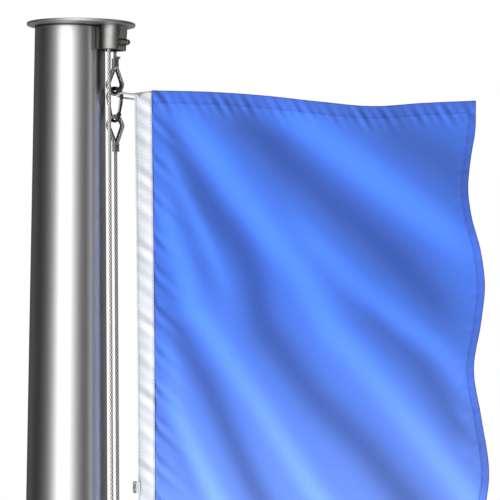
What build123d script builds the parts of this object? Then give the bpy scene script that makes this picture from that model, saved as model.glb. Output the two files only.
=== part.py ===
"""A 5 m conical flagpole with an external halyard and a small portrait flag.

Millimetres.  The origin is the centre of the base plate's underside, +Z runs up the
shaft and +X is the way the flag flies.  The halyard hangs on the side HALYARD_TURN
degrees round from +X towards -Y, and the pieces there are drawn in two helper frames:

- the truck frame: x outward from the shaft, y round the shaft, z up;
- the halyard frame: x round the shaft, y up along the rope, z outward, with its
  origin in the middle of the sheave.
"""

import os
from math import asin, atan2, cos, degrees, exp, pi, radians, sin, tan

from build123d import *

os.makedirs("parts", exist_ok=True)

# ---------------------------------------------------------------- driving sizes
SEAT_GAP = 0.3          # left between curved faces that seat on one another
RUN_GAP = 0.05          # radial running clearance of a pin in its bore

SHAFT_TOP_Z = 5000.0    # ground to the top of the tube
TOP_D = 89.0            # shaft diameter under the cap
BUTT_D = 140.0          # shaft diameter of the straight lower part
TAPER_LENGTH = 2180.0   # conical upper part
SHAFT_WALL = 3.5

PLATE_SIDE = 280.0
PLATE_THICK = 12.0
PLATE_CORNER_R = 18.0
ANCHOR_SPACING = 200.0
ANCHOR_HOLE_D = 18.0
GUSSET_HEIGHT = 90.0
GUSSET_THICK = 8.0
GUSSET_TOE = 10.0       # height of the gusset's outer end
GUSSET_EDGE = 12.0      # from the gusset's outer end to the edge of the plate

CAP_R = 68.8
CAP_THICK = 4.0
CAP_EDGE_R = 1.2
CAP_SHIFT = 15.0        # cap centre, outward over the sheave
SPIGOT_LENGTH = 60.0
SPIGOT_WALL = 4.0

HALYARD_TURN = 16.5     # degrees
ROPE_R = 2.2
SHEAVE_PITCH_R = 11.0   # to the middle of the rope
SHEAVE_WIDTH = 8.0
SHEAVE_FLANGE = 1.5     # flange height above the middle of the rope
SHEAVE_OUT = 56.7       # middle of the sheave from the shaft's axis
AXLE_DROP = 21.3        # axle below the cap
AXLE_R = 2.5
SPACER_R = 4.5
SIDE_PLAY = 0.1         # between the sheave and its spacers

COWL_OUT = 71.0         # flat nose of the cowl from the shaft's axis, at the axle
COWL_R = 22.5
COWL_CENTRE = 55.0      # middle of the cowl's round, from the shaft's axis
COWL_DEPTH = 31.0
COWL_CORNER_R = 4.0     # where the round meets the flat nose
COWL_WALL = 2.5
COWL_DRAFT = 5.0        # degrees, on the nose alone
COWL_RIM_R = 0.8
BOSS_R = 5.5
BOSS_PROUD = 0.4
CHEEK_THICK = 2.5
CHEEK_HALF_WIDTH = 12.0
BOLT_HEAD_R = 4.5
BOLT_HEAD_H = 2.6
NUT_FLATS = 8.0
NUT_HEX_H = 4.0
NUT_LENGTH = 9.6
NUT_DOME_R = 3.7

CLEAT_Z = 1200.0
CLEAT_ROPE_OUT = 38.0   # outermost rope turn from the shaft's surface
CLEAT_POST_HEIGHT = 46.0
CLEAT_LENGTH = 160.0
CLEAT_FOOT_HEIGHT = 96.0
CLEAT_FOOT_WIDTH = 28.0
CLEAT_FOOT_THICK = 4.0
CLEAT_HORN_WIDTH = 15.0
CLEAT_HORN_DEPTH = 13.0
CLEAT_HORN_TIP = 8.0
CLEAT_HORN_LIFT = 4.0   # the tips stand this much further out
CLEAT_SCREW_SPACING = 72.0
CLEAT_SCREW_R = 3.0
CLEAT_TURNS = 3         # closed turns round the cleat besides the running one
TURN_GAP = 0.4          # between neighbouring turns

FERRULE_TOP = -19.7     # all below the middle of the sheave, along the rope
FERRULE_LENGTH = 9.0
FERRULE_WIDTH = 9.8
FERRULE_DEPTH = 5.6
FERRULE_WAIST = 0.4
TAIL_LENGTH = 3.0       # cut end of the rope over the ferrule
FERRULE_SHIFT = 0.3     # ferrules off the standing rope, towards the fly
EYE_LENGTH = 35.8       # ferrule to the middle of the rope at the eye's far end
EYE_HALF_WIDTH = 11.4
EYE_END_HALF = 5.2
EYE_SHOULDER = 24.6     # ferrule to where the eye is widest
EYE_BENDS = [9.0, 6.5, 6.0, 6.0, 6.5, 9.0]
EYE_LEAN = -1.0         # far end of the eye off the ferrule's middle, in the eye's plane
EYE_TURN = 30.0         # degrees, eye's plane from the flag's plane
LEG_APART = 2.35        # half the distance between the two ropes at the ferrule
THIMBLE_WALL = 0.9
THIMBLE_HALF_WIDTH = 1.4
THIMBLE_SEAT = 1.15     # its foot to the hook's bow, whose underside is arched
HOOK_TURN = -32.0       # degrees, hook's plane from the flag's plane
LOWER_TURN = 90.0       # degrees, the lower assembly round the rope from the upper one
HOOK_THICK = 4.4
HOOK_EDGE_R = 1.6
HOOK_LENGTH = 45.8
HOOK_TOP_R = 12.6
HOOK_FOOT_R = 7.2
HOOK_TOP_BOW = 5.2      # depth of the bow at the hook's top
HOOK_FOOT_BOW = 3.6
HOOK_SIDE = 3.5         # depth of the spine and gate, beside the opening
OPENING_TOP_R = 8.8
OPENING_FOOT_R = 4.0
GATE_THICK = 3.4        # in the hook's plane
GATE_HINGE_WIDTH = 4.0  # across the hook's plane
GATE_NOSE_WIDTH = 5.4
GATE_EDGE_R = 1.2
GATE_PIN_R = 0.8
GATE_KNUCKLE_R = 2.3
GATE_KNUCKLE_THICK = 1.8
GATE_SIDE_GAP = 0.2
GATE_NOSE_GAP = 0.4
GATE_NOSE_DROP = 3.0    # hook's nose below the end of the top bow
GATE_HINGE_UP = 4.0     # hinge pin above the end of the lower bow

FLAG_WIDTH = 450.0      # heading included
FLAG_HEIGHT = 1000.0
HEADING_WIDTH = 25.0
HEADING_THICK = 1.6
FIELD_THICK = 1.0
FLAG_OUT = 23.5         # hoist edge from the middle of the rope
FLAG_TOP = -62.8        # top hoist corner, from the middle of the sheave
FLAG_WAVE = 14.0        # how far the field bellies
FLAG_WAVES = 1.3        # waves between heading and fly
FLAG_DRIFT = 1.5        # waves that run down the fly
FLAG_SAG = 20.0
FLAG_FLY_SWING = 7.0
GROMMET_IN = 6.2        # loop's hole from both edges of the heading
GROMMET_R = 3.6
LOOP_R = 1.4
LOOP_BEND_R = 5.2       # half the distance between the loop's two runs
LOOP_TILT = 28.0        # degrees, leant with the hook's bow
LOOP_SEAT_ANGLE = 5.0   # degrees up the hook's top bow
CLIP_LENGTH = 15.0
CLIP_OUT = 4.0
CLIP_HOLD = 5.0         # overlap on the heading
CLIP_GAP = 0.05
CLIP_THICK = 3.2

# ---------------------------------------------------------------- what follows from them
TOP_R = TOP_D / 2
BUTT_R = BUTT_D / 2
TAPER_FOOT_Z = SHAFT_TOP_Z - TAPER_LENGTH
SHAFT_SLOPE = (BUTT_R - TOP_R) / TAPER_LENGTH
AXLE_Z = SHAFT_TOP_Z - AXLE_DROP
CLEAT_ROPE_R = BUTT_R + CLEAT_ROPE_OUT
HALYARD_LEAN = atan2(CLEAT_ROPE_R - SHEAVE_OUT, AXLE_Z - CLEAT_Z)
CLEAT_ALONG = -(AXLE_Z - CLEAT_Z) / cos(HALYARD_LEAN)
POST_HALF_WIDTH = SHEAVE_PITCH_R - ROPE_R - SEAT_GAP
POST_STRAIGHT = CLEAT_POST_HEIGHT / 2 - POST_HALF_WIDTH
CHEEK_IN = TOP_R + SHAFT_SLOPE * AXLE_DROP + SEAT_GAP + BOLT_HEAD_H
NUT_SEAT = COWL_OUT + BOSS_PROUD
BOSS_IN = COWL_OUT - COWL_WALL - BOSS_PROUD
SHEAVE_HALF = SHEAVE_WIDTH / 2 + SIDE_PLAY
THIMBLE_IN = ROPE_R + SEAT_GAP + THIMBLE_WALL
EYE_SEAT = THIMBLE_IN + THIMBLE_SEAT
HOOK_REACH = FERRULE_LENGTH + EYE_LENGTH - EYE_SEAT
HOOK_TOP = FERRULE_TOP - HOOK_REACH + HOOK_TOP_BOW
ASSEMBLY_LENGTH = 2 * HOOK_REACH - HOOK_TOP_BOW - HOOK_FOOT_BOW + HOOK_LENGTH

turn = radians(HALYARD_TURN)
outward = Vector(cos(turn), -sin(turn), 0)
around = Vector(sin(turn), cos(turn), 0)
truck = Rot(0, 0, -HALYARD_TURN)
halyard = Plane(
    origin=outward * SHEAVE_OUT + Vector(0, 0, AXLE_Z),
    x_dir=around,
    z_dir=outward * cos(HALYARD_LEAN) + Vector(0, 0, sin(HALYARD_LEAN)),
)


def shaft_r(z):
    """Outer radius of the shaft at height z."""
    return TOP_R + SHAFT_SLOPE * min(SHAFT_TOP_Z - z, TAPER_LENGTH)


def save(shape, name):
    shape.label = name
    export_step(shape, f"parts/{name}.step")


def rope_along(path, radius=ROPE_R):
    """A round rope swept along a path of lines and arcs."""
    section = Plane(origin=path @ 0, z_dir=path % 0) * Circle(radius)
    return sweep(section, path=path)


def along_x(x_start, x_end, radius, hole=0.0):
    """A rod, or a ring where hole is given, lying along x at the axle's height."""
    ring = Circle(radius) - Circle(hole) if hole else Circle(radius)
    at_start = Plane(origin=(x_start, 0, AXLE_Z), z_dir=(1, 0, 0))
    return extrude(at_start * ring, x_end - x_start)


# ---------------------------------------------------------------- shaft and base
def shaft():
    outer = [(BUTT_R, PLATE_THICK), (BUTT_R, TAPER_FOOT_Z), (TOP_R, SHAFT_TOP_Z)]
    inner = [(r - SHAFT_WALL, z) for r, z in reversed(outer)]
    tube = revolve(Plane.XZ * make_face(Polyline(*outer, *inner, close=True)), Axis.Z)
    return tube - [truck * cleat_screw_hole(z) for z in cleat_screw_heights()]


def base_plate():
    plate = extrude(RectangleRounded(PLATE_SIDE, PLATE_SIDE, PLATE_CORNER_R), PLATE_THICK)
    hole = Cylinder(ANCHOR_HOLE_D / 2, 3 * PLATE_THICK)
    return plate - GridLocations(ANCHOR_SPACING, ANCHOR_SPACING, 2, 2) * hole


def gussets():
    inner = BUTT_R + SEAT_GAP
    outer = PLATE_SIDE / 2 - GUSSET_EDGE
    outline = Polyline(
        (inner, PLATE_THICK),
        (outer, PLATE_THICK),
        (outer, PLATE_THICK + GUSSET_TOE),
        (inner + GUSSET_TOE, PLATE_THICK + GUSSET_HEIGHT),
        (inner, PLATE_THICK + GUSSET_HEIGHT),
        close=True,
    )
    rib = extrude(Plane.XZ * make_face(outline), GUSSET_THICK / 2, both=True)
    return Compound(children=[Rot(0, 0, 90 * i) * rib for i in range(4)])


# ---------------------------------------------------------------- truck: cap, cowl and sheave
def cap_disc():
    disc = extrude(Circle(CAP_R), CAP_THICK)
    disc = fillet(disc.edges(), CAP_EDGE_R)
    return truck * Pos(CAP_SHIFT, 0, SHAFT_TOP_Z) * disc


def cap_spigot():
    spigot_r = TOP_R - SHAFT_WALL - SEAT_GAP
    ring = Circle(spigot_r) - Circle(spigot_r - SPIGOT_WALL)
    return Pos(0, 0, SHAFT_TOP_Z - SPIGOT_LENGTH) * extrude(ring, SPIGOT_LENGTH)


def cowl_plan(below_cap, inset):
    """Level cut through the cowl: a round with a flat nose that leans in as it goes down."""
    nose = COWL_OUT + (AXLE_DROP - below_cap) * tan(radians(COWL_DRAFT)) - inset
    plan = Pos(COWL_CENTRE, 0) * Circle(COWL_R - inset)
    plan &= Pos(nose - 2 * COWL_R, 0) * Rectangle(4 * COWL_R, 4 * COWL_R)
    plan = fillet(plan.vertices(), COWL_CORNER_R - inset)
    return Pos(0, 0, SHAFT_TOP_Z - below_cap) * plan


def cowl():
    outer = loft([cowl_plan(0, 0), cowl_plan(COWL_DEPTH, 0)], ruled=True)
    rim = outer.faces().sort_by(Axis.Z)[0].edges()
    outer = fillet(rim, COWL_RIM_R)
    over = COWL_WALL
    hollow = loft([cowl_plan(-over, COWL_WALL), cowl_plan(COWL_DEPTH + over, COWL_WALL)], ruled=True)
    boss = along_x(BOSS_IN, NUT_SEAT, BOSS_R)
    behind = Pos(-2 * CAP_R, 0, AXLE_Z) * Box(4 * CAP_R, 4 * CAP_R, 4 * CAP_R)
    reach = 2 * COWL_DEPTH
    shaft_room = Pos(0, 0, SHAFT_TOP_Z - reach / 2) * Cone(
        shaft_r(SHAFT_TOP_Z - reach) + SEAT_GAP, TOP_R + SEAT_GAP, reach
    )
    above = Pos(0, 0, SHAFT_TOP_Z + reach / 2) * Cylinder(TOP_R + SEAT_GAP, reach)
    bore = along_x(SHEAVE_OUT, COWL_OUT + reach, AXLE_R + RUN_GAP)
    return truck * (outer - hollow + boss - behind - shaft_room - above - bore)


def sheave_cheek():
    """The flat ear under the cap that carries the inner end of the axle."""
    ear = Pos(0, -AXLE_DROP / 2) * Rectangle(2 * CHEEK_HALF_WIDTH, AXLE_DROP)
    ear += Pos(0, -AXLE_DROP) * Circle(CHEEK_HALF_WIDTH * 0.7)
    ear -= Pos(0, -AXLE_DROP) * Circle(AXLE_R + RUN_GAP)
    at_cheek = Plane(origin=(CHEEK_IN, 0, SHAFT_TOP_Z), x_dir=(0, 1, 0), z_dir=(1, 0, 0))
    return truck * extrude(at_cheek * ear, CHEEK_THICK)


def axle_bolt():
    shank = along_x(CHEEK_IN, NUT_SEAT + NUT_HEX_H, AXLE_R)
    head = along_x(CHEEK_IN - BOLT_HEAD_H, CHEEK_IN, BOLT_HEAD_R)
    head = fillet(head.edges().sort_by(Axis.X)[0], BOLT_HEAD_H / 2)
    return truck * (shank + head)


def spacer(x_start, x_end):
    return truck * along_x(x_start, x_end, SPACER_R, AXLE_R + RUN_GAP)


def acorn_nut():
    hexagon = RegularPolygon(NUT_FLATS / 2, 6, major_radius=False)
    body = extrude(hexagon, NUT_HEX_H)
    dome_z = NUT_LENGTH - NUT_DOME_R
    body += Pos(0, 0, dome_z / 2) * Cylinder(NUT_DOME_R, dome_z)
    body += Pos(0, 0, dome_z) * Sphere(NUT_DOME_R)
    body -= Cylinder(AXLE_R + RUN_GAP, 2 * (NUT_HEX_H + SEAT_GAP))
    body -= Pos(0, 0, -NUT_LENGTH) * Box(NUT_LENGTH * 2, NUT_LENGTH * 2, NUT_LENGTH * 2)
    return truck * (Plane(origin=(NUT_SEAT, 0, AXLE_Z), z_dir=(1, 0, 0)) * body)


def sheave():
    """Grooved wheel; its groove clears the rope by the seating gap."""
    outer_r = SHEAVE_PITCH_R + SHEAVE_FLANGE
    bore_r = AXLE_R + RUN_GAP
    web = Pos(0, (outer_r + bore_r) / 2) * Rectangle(SHEAVE_WIDTH, outer_r - bore_r)
    groove_r = ROPE_R + SEAT_GAP
    web -= Pos(0, SHEAVE_PITCH_R) * Circle(groove_r)
    web -= Pos(0, SHEAVE_PITCH_R + groove_r) * Rectangle(2 * groove_r, 2 * groove_r)
    wheel = revolve(web, Axis.X)
    return truck * Pos(SHEAVE_OUT, 0, AXLE_Z) * wheel


# ---------------------------------------------------------------- cleat
def cleat_screw_heights():
    return [CLEAT_Z - CLEAT_SCREW_SPACING / 2, CLEAT_Z + CLEAT_SCREW_SPACING / 2]


def cleat_screw_hole(z):
    start = Plane(origin=(BUTT_R / 2, 0, z), z_dir=(1, 0, 0))
    return extrude(start * Circle(CLEAT_SCREW_R + RUN_GAP), BUTT_R)


def upright_slot(height, width, x_start, x_end):
    """A round-ended upright bar, drawn out along x."""
    start = Plane(origin=(x_start, 0, CLEAT_Z), x_dir=(0, 1, 0), z_dir=(1, 0, 0))
    slot = RectangleRounded(width, height, width * 0.4999)
    return extrude(start * slot, x_end - x_start)


def cleat():
    foot_out = BUTT_R + CLEAT_FOOT_THICK
    post_out = CLEAT_ROPE_R + ROPE_R + CLEAT_HORN_DEPTH / 2
    foot = upright_slot(CLEAT_FOOT_HEIGHT, CLEAT_FOOT_WIDTH, BUTT_R / 2, foot_out)
    post = upright_slot(CLEAT_POST_HEIGHT, 2 * POST_HALF_WIDTH, BUTT_R / 2, post_out)
    root = CLEAT_ROPE_R + ROPE_R + SEAT_GAP
    tip = CLEAT_LENGTH / 2
    half_post = CLEAT_POST_HEIGHT / 2
    outline = Polyline(
        (root, CLEAT_Z - half_post),
        (root + CLEAT_HORN_LIFT, CLEAT_Z - tip),
        (root + CLEAT_HORN_LIFT + CLEAT_HORN_TIP, CLEAT_Z - tip),
        (root + CLEAT_HORN_DEPTH, CLEAT_Z),
        (root + CLEAT_HORN_LIFT + CLEAT_HORN_TIP, CLEAT_Z + tip),
        (root + CLEAT_HORN_LIFT, CLEAT_Z + tip),
        (root, CLEAT_Z + half_post),
        close=True,
    )
    horns = extrude(Plane.XZ * make_face(outline), CLEAT_HORN_WIDTH / 2, both=True)
    horns = fillet(horns.edges().filter_by(Axis.Y).sort_by(Axis.Z)[:2], CLEAT_HORN_TIP * 0.45)
    horns = fillet(horns.edges().filter_by(Axis.Y).sort_by(Axis.Z)[-2:], CLEAT_HORN_TIP * 0.45)
    body = foot + post + horns
    body -= Pos(0, 0, CLEAT_Z) * Cylinder(BUTT_R + SEAT_GAP, 2 * CLEAT_LENGTH)
    return truck * (body - [cleat_screw_hole(z) for z in cleat_screw_heights()])


def cleat_screws():
    seat = BUTT_R + CLEAT_FOOT_THICK
    screws = []
    for z in cleat_screw_heights():
        start = Plane(origin=(BUTT_R - 2 * SHAFT_WALL, 0, z), z_dir=(1, 0, 0))
        shank = extrude(start * Circle(CLEAT_SCREW_R), seat - BUTT_R + 2 * SHAFT_WALL)
        head_face = Plane(origin=(seat, 0, z), z_dir=(1, 0, 0))
        head = extrude(head_face * Circle(2 * CLEAT_SCREW_R), CLEAT_SCREW_R)
        head = fillet(head.edges().sort_by(Axis.X)[-1], CLEAT_SCREW_R * 0.6)
        screws.append(truck * (shank + head))
    return Compound(children=screws)


# ---------------------------------------------------------------- halyard
def lower_assembly():
    """How far the lower snap-hook assembly hangs below the upper one, along the halyard."""
    return (FLAG_HEIGHT - 2 * GROMMET_IN) / cos(HALYARD_LEAN)


def halyard_line(start, end):
    """Straight rope on the hook side between two distances along the halyard."""
    base = Plane(origin=(SHEAVE_PITCH_R, start, 0), x_dir=(1, 0, 0), z_dir=(0, -1, 0))
    return halyard * extrude(base * Circle(ROPE_R), start - end)


def halyard_over_sheave():
    """Front fall from the cleat, the bend over the sheave and the run to the first ferrule."""
    side = SHEAVE_PITCH_R
    foot = CLEAT_ALONG - POST_STRAIGHT
    path = (
        Line((-side, foot), (-side, 0))
        + ThreePointArc((-side, 0), (0, side), (side, 0))
        + Line((side, 0), (side, FERRULE_TOP))
    )
    return halyard * rope_along(path)


def halyard_under_cleat():
    """The bend round the foot of the cleat and the rear run up to the lower assembly."""
    side = SHEAVE_PITCH_R
    foot = CLEAT_ALONG - POST_STRAIGHT
    top = FERRULE_TOP - lower_assembly() - ASSEMBLY_LENGTH
    path = ThreePointArc((-side, foot), (0, foot - side), (side, foot)) + Line((side, foot), (side, top))
    return halyard * rope_along(path)


def cleat_turns():
    """Closed turns laid round the cleat's post, inside the running one."""
    side = SHEAVE_PITCH_R
    pitch = 2 * ROPE_R + TURN_GAP
    turns = []
    for i in range(1, CLEAT_TURNS + 1):
        half = POST_STRAIGHT
        loop = (
            Line((-side, -half), (-side, half))
            + ThreePointArc((-side, half), (0, half + side), (side, half))
            + Line((side, half), (side, -half))
            + ThreePointArc((side, -half), (0, -half - side), (-side, -half))
        )
        turns.append(halyard * Pos(0, CLEAT_ALONG, -pitch * i) * rope_along(loop))
    return Compound(children=turns)


def hung(shape, y=0.0, turned=0.0):
    """Put a shape drawn in the flag's plane (x to the fly, y up) on the hook side's rope."""
    return halyard * Pos(SHEAVE_PITCH_R, y, 0) * Rot(0, HALYARD_TURN - 90 + turned, 0) * shape


def at_eye(shape):
    """From the eye's plane to the flag's plane."""
    return Pos(FERRULE_SHIFT, 0, 0) * Rot(0, EYE_TURN, 0) * shape


def at_hook(shape):
    """From the hook's plane to the flag's plane, the hook hanging on the far end of the eye."""
    lean = Vector(cos(radians(EYE_TURN)), 0, -sin(radians(EYE_TURN))) * EYE_LEAN
    return Pos(FERRULE_SHIFT + lean.X, 0, lean.Z) * Rot(0, HOOK_TURN, 0) * shape


def ferrule():
    """Hourglass clamp over the two ropes, y from 0 down."""
    full = SlotOverall(FERRULE_WIDTH, FERRULE_DEPTH)
    slim = SlotOverall(FERRULE_WIDTH - 2 * FERRULE_WAIST, FERRULE_DEPTH - 2 * FERRULE_WAIST)
    down = Plane(origin=(0, 0, 0), x_dir=(1, 0, 0), z_dir=(0, -1, 0))
    levels = [down, down.offset(FERRULE_LENGTH / 2), down.offset(FERRULE_LENGTH)]
    return loft([level * face for level, face in zip(levels, [full, slim, full])])


def rope_tail():
    """The rope's cut end beside the standing rope, y from 0 up."""
    beside = 2 * ROPE_R + TURN_GAP - FERRULE_SHIFT
    up = Plane(origin=(beside, 0, 0), x_dir=(1, 0, 0), z_dir=(0, 1, 0))
    return extrude(up * Circle(ROPE_R), TAIL_LENGTH)


def rope_eye():
    """The eye under a ferrule, y from 0 down to -EYE_LENGTH at the rope's middle."""
    across = EYE_LEAN * EYE_SHOULDER / EYE_LENGTH
    points = [
        (-LEG_APART, 0),
        (-LEG_APART, -ROPE_R),
        (across - EYE_HALF_WIDTH, -EYE_SHOULDER),
        (EYE_LEAN - EYE_END_HALF, -EYE_LENGTH),
        (EYE_LEAN + EYE_END_HALF, -EYE_LENGTH),
        (across + EYE_HALF_WIDTH, -EYE_SHOULDER),
        (LEG_APART, -ROPE_R),
        (LEG_APART, 0),
    ]
    return FilletPolyline(*points, radius=EYE_BENDS)


def thimble():
    """The band that lines the eye, bent from the rope's own curve set in by its radius."""
    path = rope_eye()
    inside = make_face(path + Line(path @ 1, path @ 0))
    back = offset(inside, -(ROPE_R + SEAT_GAP))
    front = offset(inside, -THIMBLE_IN)
    return extrude(back - front, THIMBLE_HALF_WIDTH, both=True)


def hook_frame():
    """Middles of the outer bows and lean of the sides; y from 0 at the hook's top down."""
    top = -HOOK_TOP_R
    foot = HOOK_FOOT_R - HOOK_LENGTH
    lean = asin((HOOK_TOP_R - HOOK_FOOT_R) / (top - foot))
    return top, foot, lean


def open_side(bow_y, bow_r, up):
    """A point on the gate's middle line, a distance up from where the line leaves a bow."""
    _, _, lean = hook_frame()
    r = bow_r - HOOK_SIDE / 2
    return Vector(r * cos(lean) + up * sin(lean), bow_y - r * sin(lean) + up * cos(lean))


def gate_hinge():
    """Middle of the hinge pin, on the hook's open side just over the lower bow."""
    _, foot, _ = hook_frame()
    return open_side(foot, HOOK_FOOT_R, GATE_HINGE_UP)


def gate_nose():
    """Middle of the hook's nose, the end face that the gate closes on."""
    top, _, _ = hook_frame()
    return open_side(top, HOOK_TOP_R, -GATE_NOSE_DROP)


def on_gate(shape):
    """Put a shape drawn upright from the hinge pin along the hook's leaning side."""
    hinge = gate_hinge()
    _, _, lean = hook_frame()
    return Pos(hinge.X, hinge.Y, 0) * Rot(0, 0, -degrees(lean)) * shape


def hull(top_y, top_r, foot_y, foot_r):
    """The face round two circles and their common tangents."""
    circles = [Pos(0, top_y) * Circle(top_r), Pos(0, foot_y) * Circle(foot_r)]
    return make_hull([circle.edge() for circle in circles])


def hook_body():
    """Forged pear-shaped hook: bows and spine with rounded edges, then the fork for the gate."""
    top, foot, _ = hook_frame()
    opening_top = -HOOK_TOP_BOW - OPENING_TOP_R
    opening_foot = HOOK_FOOT_BOW + OPENING_FOOT_R - HOOK_LENGTH
    outline = hull(top, HOOK_TOP_R, foot, HOOK_FOOT_R)
    outline -= hull(opening_top, OPENING_TOP_R, opening_foot, OPENING_FOOT_R)
    body = extrude(outline, HOOK_THICK / 2, both=True)
    body = fillet(body.faces().filter_by(Axis.Z).edges(), HOOK_EDGE_R)
    gap = (gate_nose() - gate_hinge()).length
    body -= on_gate(Pos(0, gap / 2, 0) * Box(3 * HOOK_SIDE, gap, 2 * HOOK_THICK))
    body += on_gate(Cylinder(GATE_KNUCKLE_R, HOOK_THICK))
    slot_r = GATE_KNUCKLE_R + GATE_SIDE_GAP
    slot_width = GATE_KNUCKLE_THICK + 2 * GATE_SIDE_GAP
    body -= on_gate(Cylinder(slot_r, slot_width))
    return body + on_gate(Cylinder(GATE_PIN_R, HOOK_THICK))


def hook_gate():
    """Tapered gate with a flat knuckle on the hinge pin."""
    gap = (gate_nose() - gate_hinge()).length
    bar_start = GATE_KNUCKLE_R + 2 * GATE_SIDE_GAP
    sections = []
    for y, width in ((bar_start, GATE_HINGE_WIDTH), (gap - GATE_NOSE_GAP, GATE_NOSE_WIDTH)):
        level = Plane(origin=(0, y, 0), x_dir=(1, 0, 0), z_dir=(0, 1, 0))
        sections.append(level * RectangleRounded(GATE_THICK, width, GATE_EDGE_R))
    gate = loft(sections, ruled=True)
    gate += Pos(0, bar_start / 2, 0) * Box(GATE_THICK, bar_start, GATE_KNUCKLE_THICK)
    gate += Cylinder(GATE_KNUCKLE_R, GATE_KNUCKLE_THICK)
    gate -= Cylinder(GATE_PIN_R + RUN_GAP, 2 * GATE_KNUCKLE_THICK)
    return on_gate(gate)


def flag_loop(turned, tilt):
    """Short closed loop through the hook's bow and the heading's corner hole."""
    top, _, _ = hook_frame()
    seat = radians(LOOP_SEAT_ANGLE)
    bow_r = HOOK_TOP_R - HOOK_SIDE / 2
    bow = Rot(0, turned, 0) * at_hook(Pos(bow_r * cos(seat), top + bow_r * sin(seat), 0))
    start = bow.position + Vector(0, HOOK_TOP, 0)
    end = Vector(FLAG_OUT + GROMMET_IN, FLAG_TOP - GROMMET_IN, 0)
    along = (end - start).normalized()
    normal = along.cross(Vector(0, sin(radians(tilt)), cos(radians(tilt)))).normalized()
    plane = Plane(origin=start, x_dir=along, z_dir=normal)
    run = (end - start).length - LOOP_BEND_R
    r = LOOP_BEND_R
    path = (
        Line((0, -r), (run, -r))
        + ThreePointArc((run, -r), (run + r, 0), (run, r))
        + Line((run, r), (0, r))
        + ThreePointArc((0, r), (-r, 0), (0, -r))
    )
    return plane * rope_along(path, LOOP_R)


# ---------------------------------------------------------------- flag
def flag_heading():
    """White band down the hoist, with a hole near each corner."""
    middle_y = FLAG_TOP - FLAG_HEIGHT / 2
    band = Box(HEADING_WIDTH, FLAG_HEIGHT, HEADING_THICK)
    corner_y = FLAG_HEIGHT / 2 - GROMMET_IN
    for y in (-corner_y, corner_y):
        band -= Pos(GROMMET_IN - HEADING_WIDTH / 2, y, 0) * Cylinder(GROMMET_R, 3 * HEADING_THICK)
    return Pos(FLAG_OUT + HEADING_WIDTH / 2, middle_y, 0) * band


def field_point(u, v):
    """A point of the blue field, u from heading to fly and v from top to bottom."""
    width = FLAG_WIDTH - HEADING_WIDTH
    belly = FLAG_WAVE * (1 - exp(-3 * u)) * sin(2 * pi * (FLAG_WAVES * u - FLAG_DRIFT * v))
    sag = FLAG_SAG * u * (1.6 - 0.9 * u)
    x = FLAG_OUT + HEADING_WIDTH + SEAT_GAP + width * u - FLAG_FLY_SWING * u * u * sin(2 * pi * v + 0.9)
    return Vector(x, FLAG_TOP - sag - (FLAG_HEIGHT - sag * 0.6) * v, belly)


def flag_field():
    """The field as one thin rippled sheet."""
    across, down = 15, 17
    grid = [[field_point(i / (across - 1), j / (down - 1)) for i in range(across)] for j in range(down)]
    sheet = Face.make_surface_from_array_of_points(grid)
    return thicken(sheet, FIELD_THICK / 2, both=True)


def hoist_clip():
    """Small tab on the heading's edge, half way down the hoist."""
    tab = RectangleRounded(CLIP_OUT + CLIP_HOLD, CLIP_LENGTH, CLIP_OUT * 0.4)
    body = Pos((CLIP_HOLD - CLIP_OUT) / 2, 0, 0) * extrude(tab, CLIP_THICK / 2, both=True)
    slot = Box(HEADING_WIDTH, 2 * CLIP_LENGTH, HEADING_THICK + 2 * CLIP_GAP)
    body -= Pos(HEADING_WIDTH / 2 - CLIP_GAP, 0, 0) * slot
    return Pos(FLAG_OUT, FLAG_TOP - FLAG_HEIGHT / 2, 0) * body


# ---------------------------------------------------------------- the parts
save(shaft(), "shaft")
save(base_plate(), "base_plate")
save(gussets(), "gussets")
save(cap_disc(), "cap_disc")
save(cap_spigot(), "cap_spigot")
save(cowl(), "sheave_cowl")
save(sheave_cheek(), "sheave_cheek")
save(axle_bolt(), "axle_bolt")
save(spacer(CHEEK_IN + CHEEK_THICK, SHEAVE_OUT - SHEAVE_HALF), "inner_spacer")
save(spacer(SHEAVE_OUT + SHEAVE_HALF, BOSS_IN), "outer_spacer")
save(acorn_nut(), "acorn_nut")
save(sheave(), "sheave")
save(cleat(), "cleat")
save(cleat_screws(), "cleat_screws")
save(halyard_over_sheave(), "halyard_upper")
save(halyard_under_cleat(), "halyard_lower")
save(cleat_turns(), "cleat_turns")

upside_down = Rot(180, 0, 0)
for place, drop, turned, tilt in (
    ("upper", 0.0, 0.0, LOOP_TILT),
    ("lower", lower_assembly(), LOWER_TURN, -LOOP_TILT),
):
    ferrule_y = FERRULE_TOP - drop
    eye_y = ferrule_y - FERRULE_LENGTH
    hook_y = HOOK_TOP - drop
    foot_y = ferrule_y - ASSEMBLY_LENGTH
    foot_eye_y = foot_y + FERRULE_LENGTH
    save(hung(at_eye(ferrule()), ferrule_y, turned), f"{place}_ferrule_a")
    save(hung(at_eye(rope_tail()), ferrule_y, turned), f"{place}_rope_tail")
    save(hung(at_eye(rope_along(rope_eye())), eye_y, turned), f"{place}_eye_a")
    save(hung(at_eye(thimble()), eye_y, turned), f"{place}_thimble_a")
    save(hung(at_hook(hook_body()), hook_y, turned), f"{place}_hook")
    save(hung(at_hook(hook_gate()), hook_y, turned), f"{place}_hook_gate")
    save(hung(at_eye(upside_down * rope_along(rope_eye())), foot_eye_y, turned), f"{place}_eye_b")
    save(hung(at_eye(upside_down * thimble()), foot_eye_y, turned), f"{place}_thimble_b")
    save(hung(at_eye(upside_down * ferrule()), foot_y, turned), f"{place}_ferrule_b")
    save(hung(flag_loop(turned, tilt), -drop), f"{place}_flag_loop")

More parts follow.
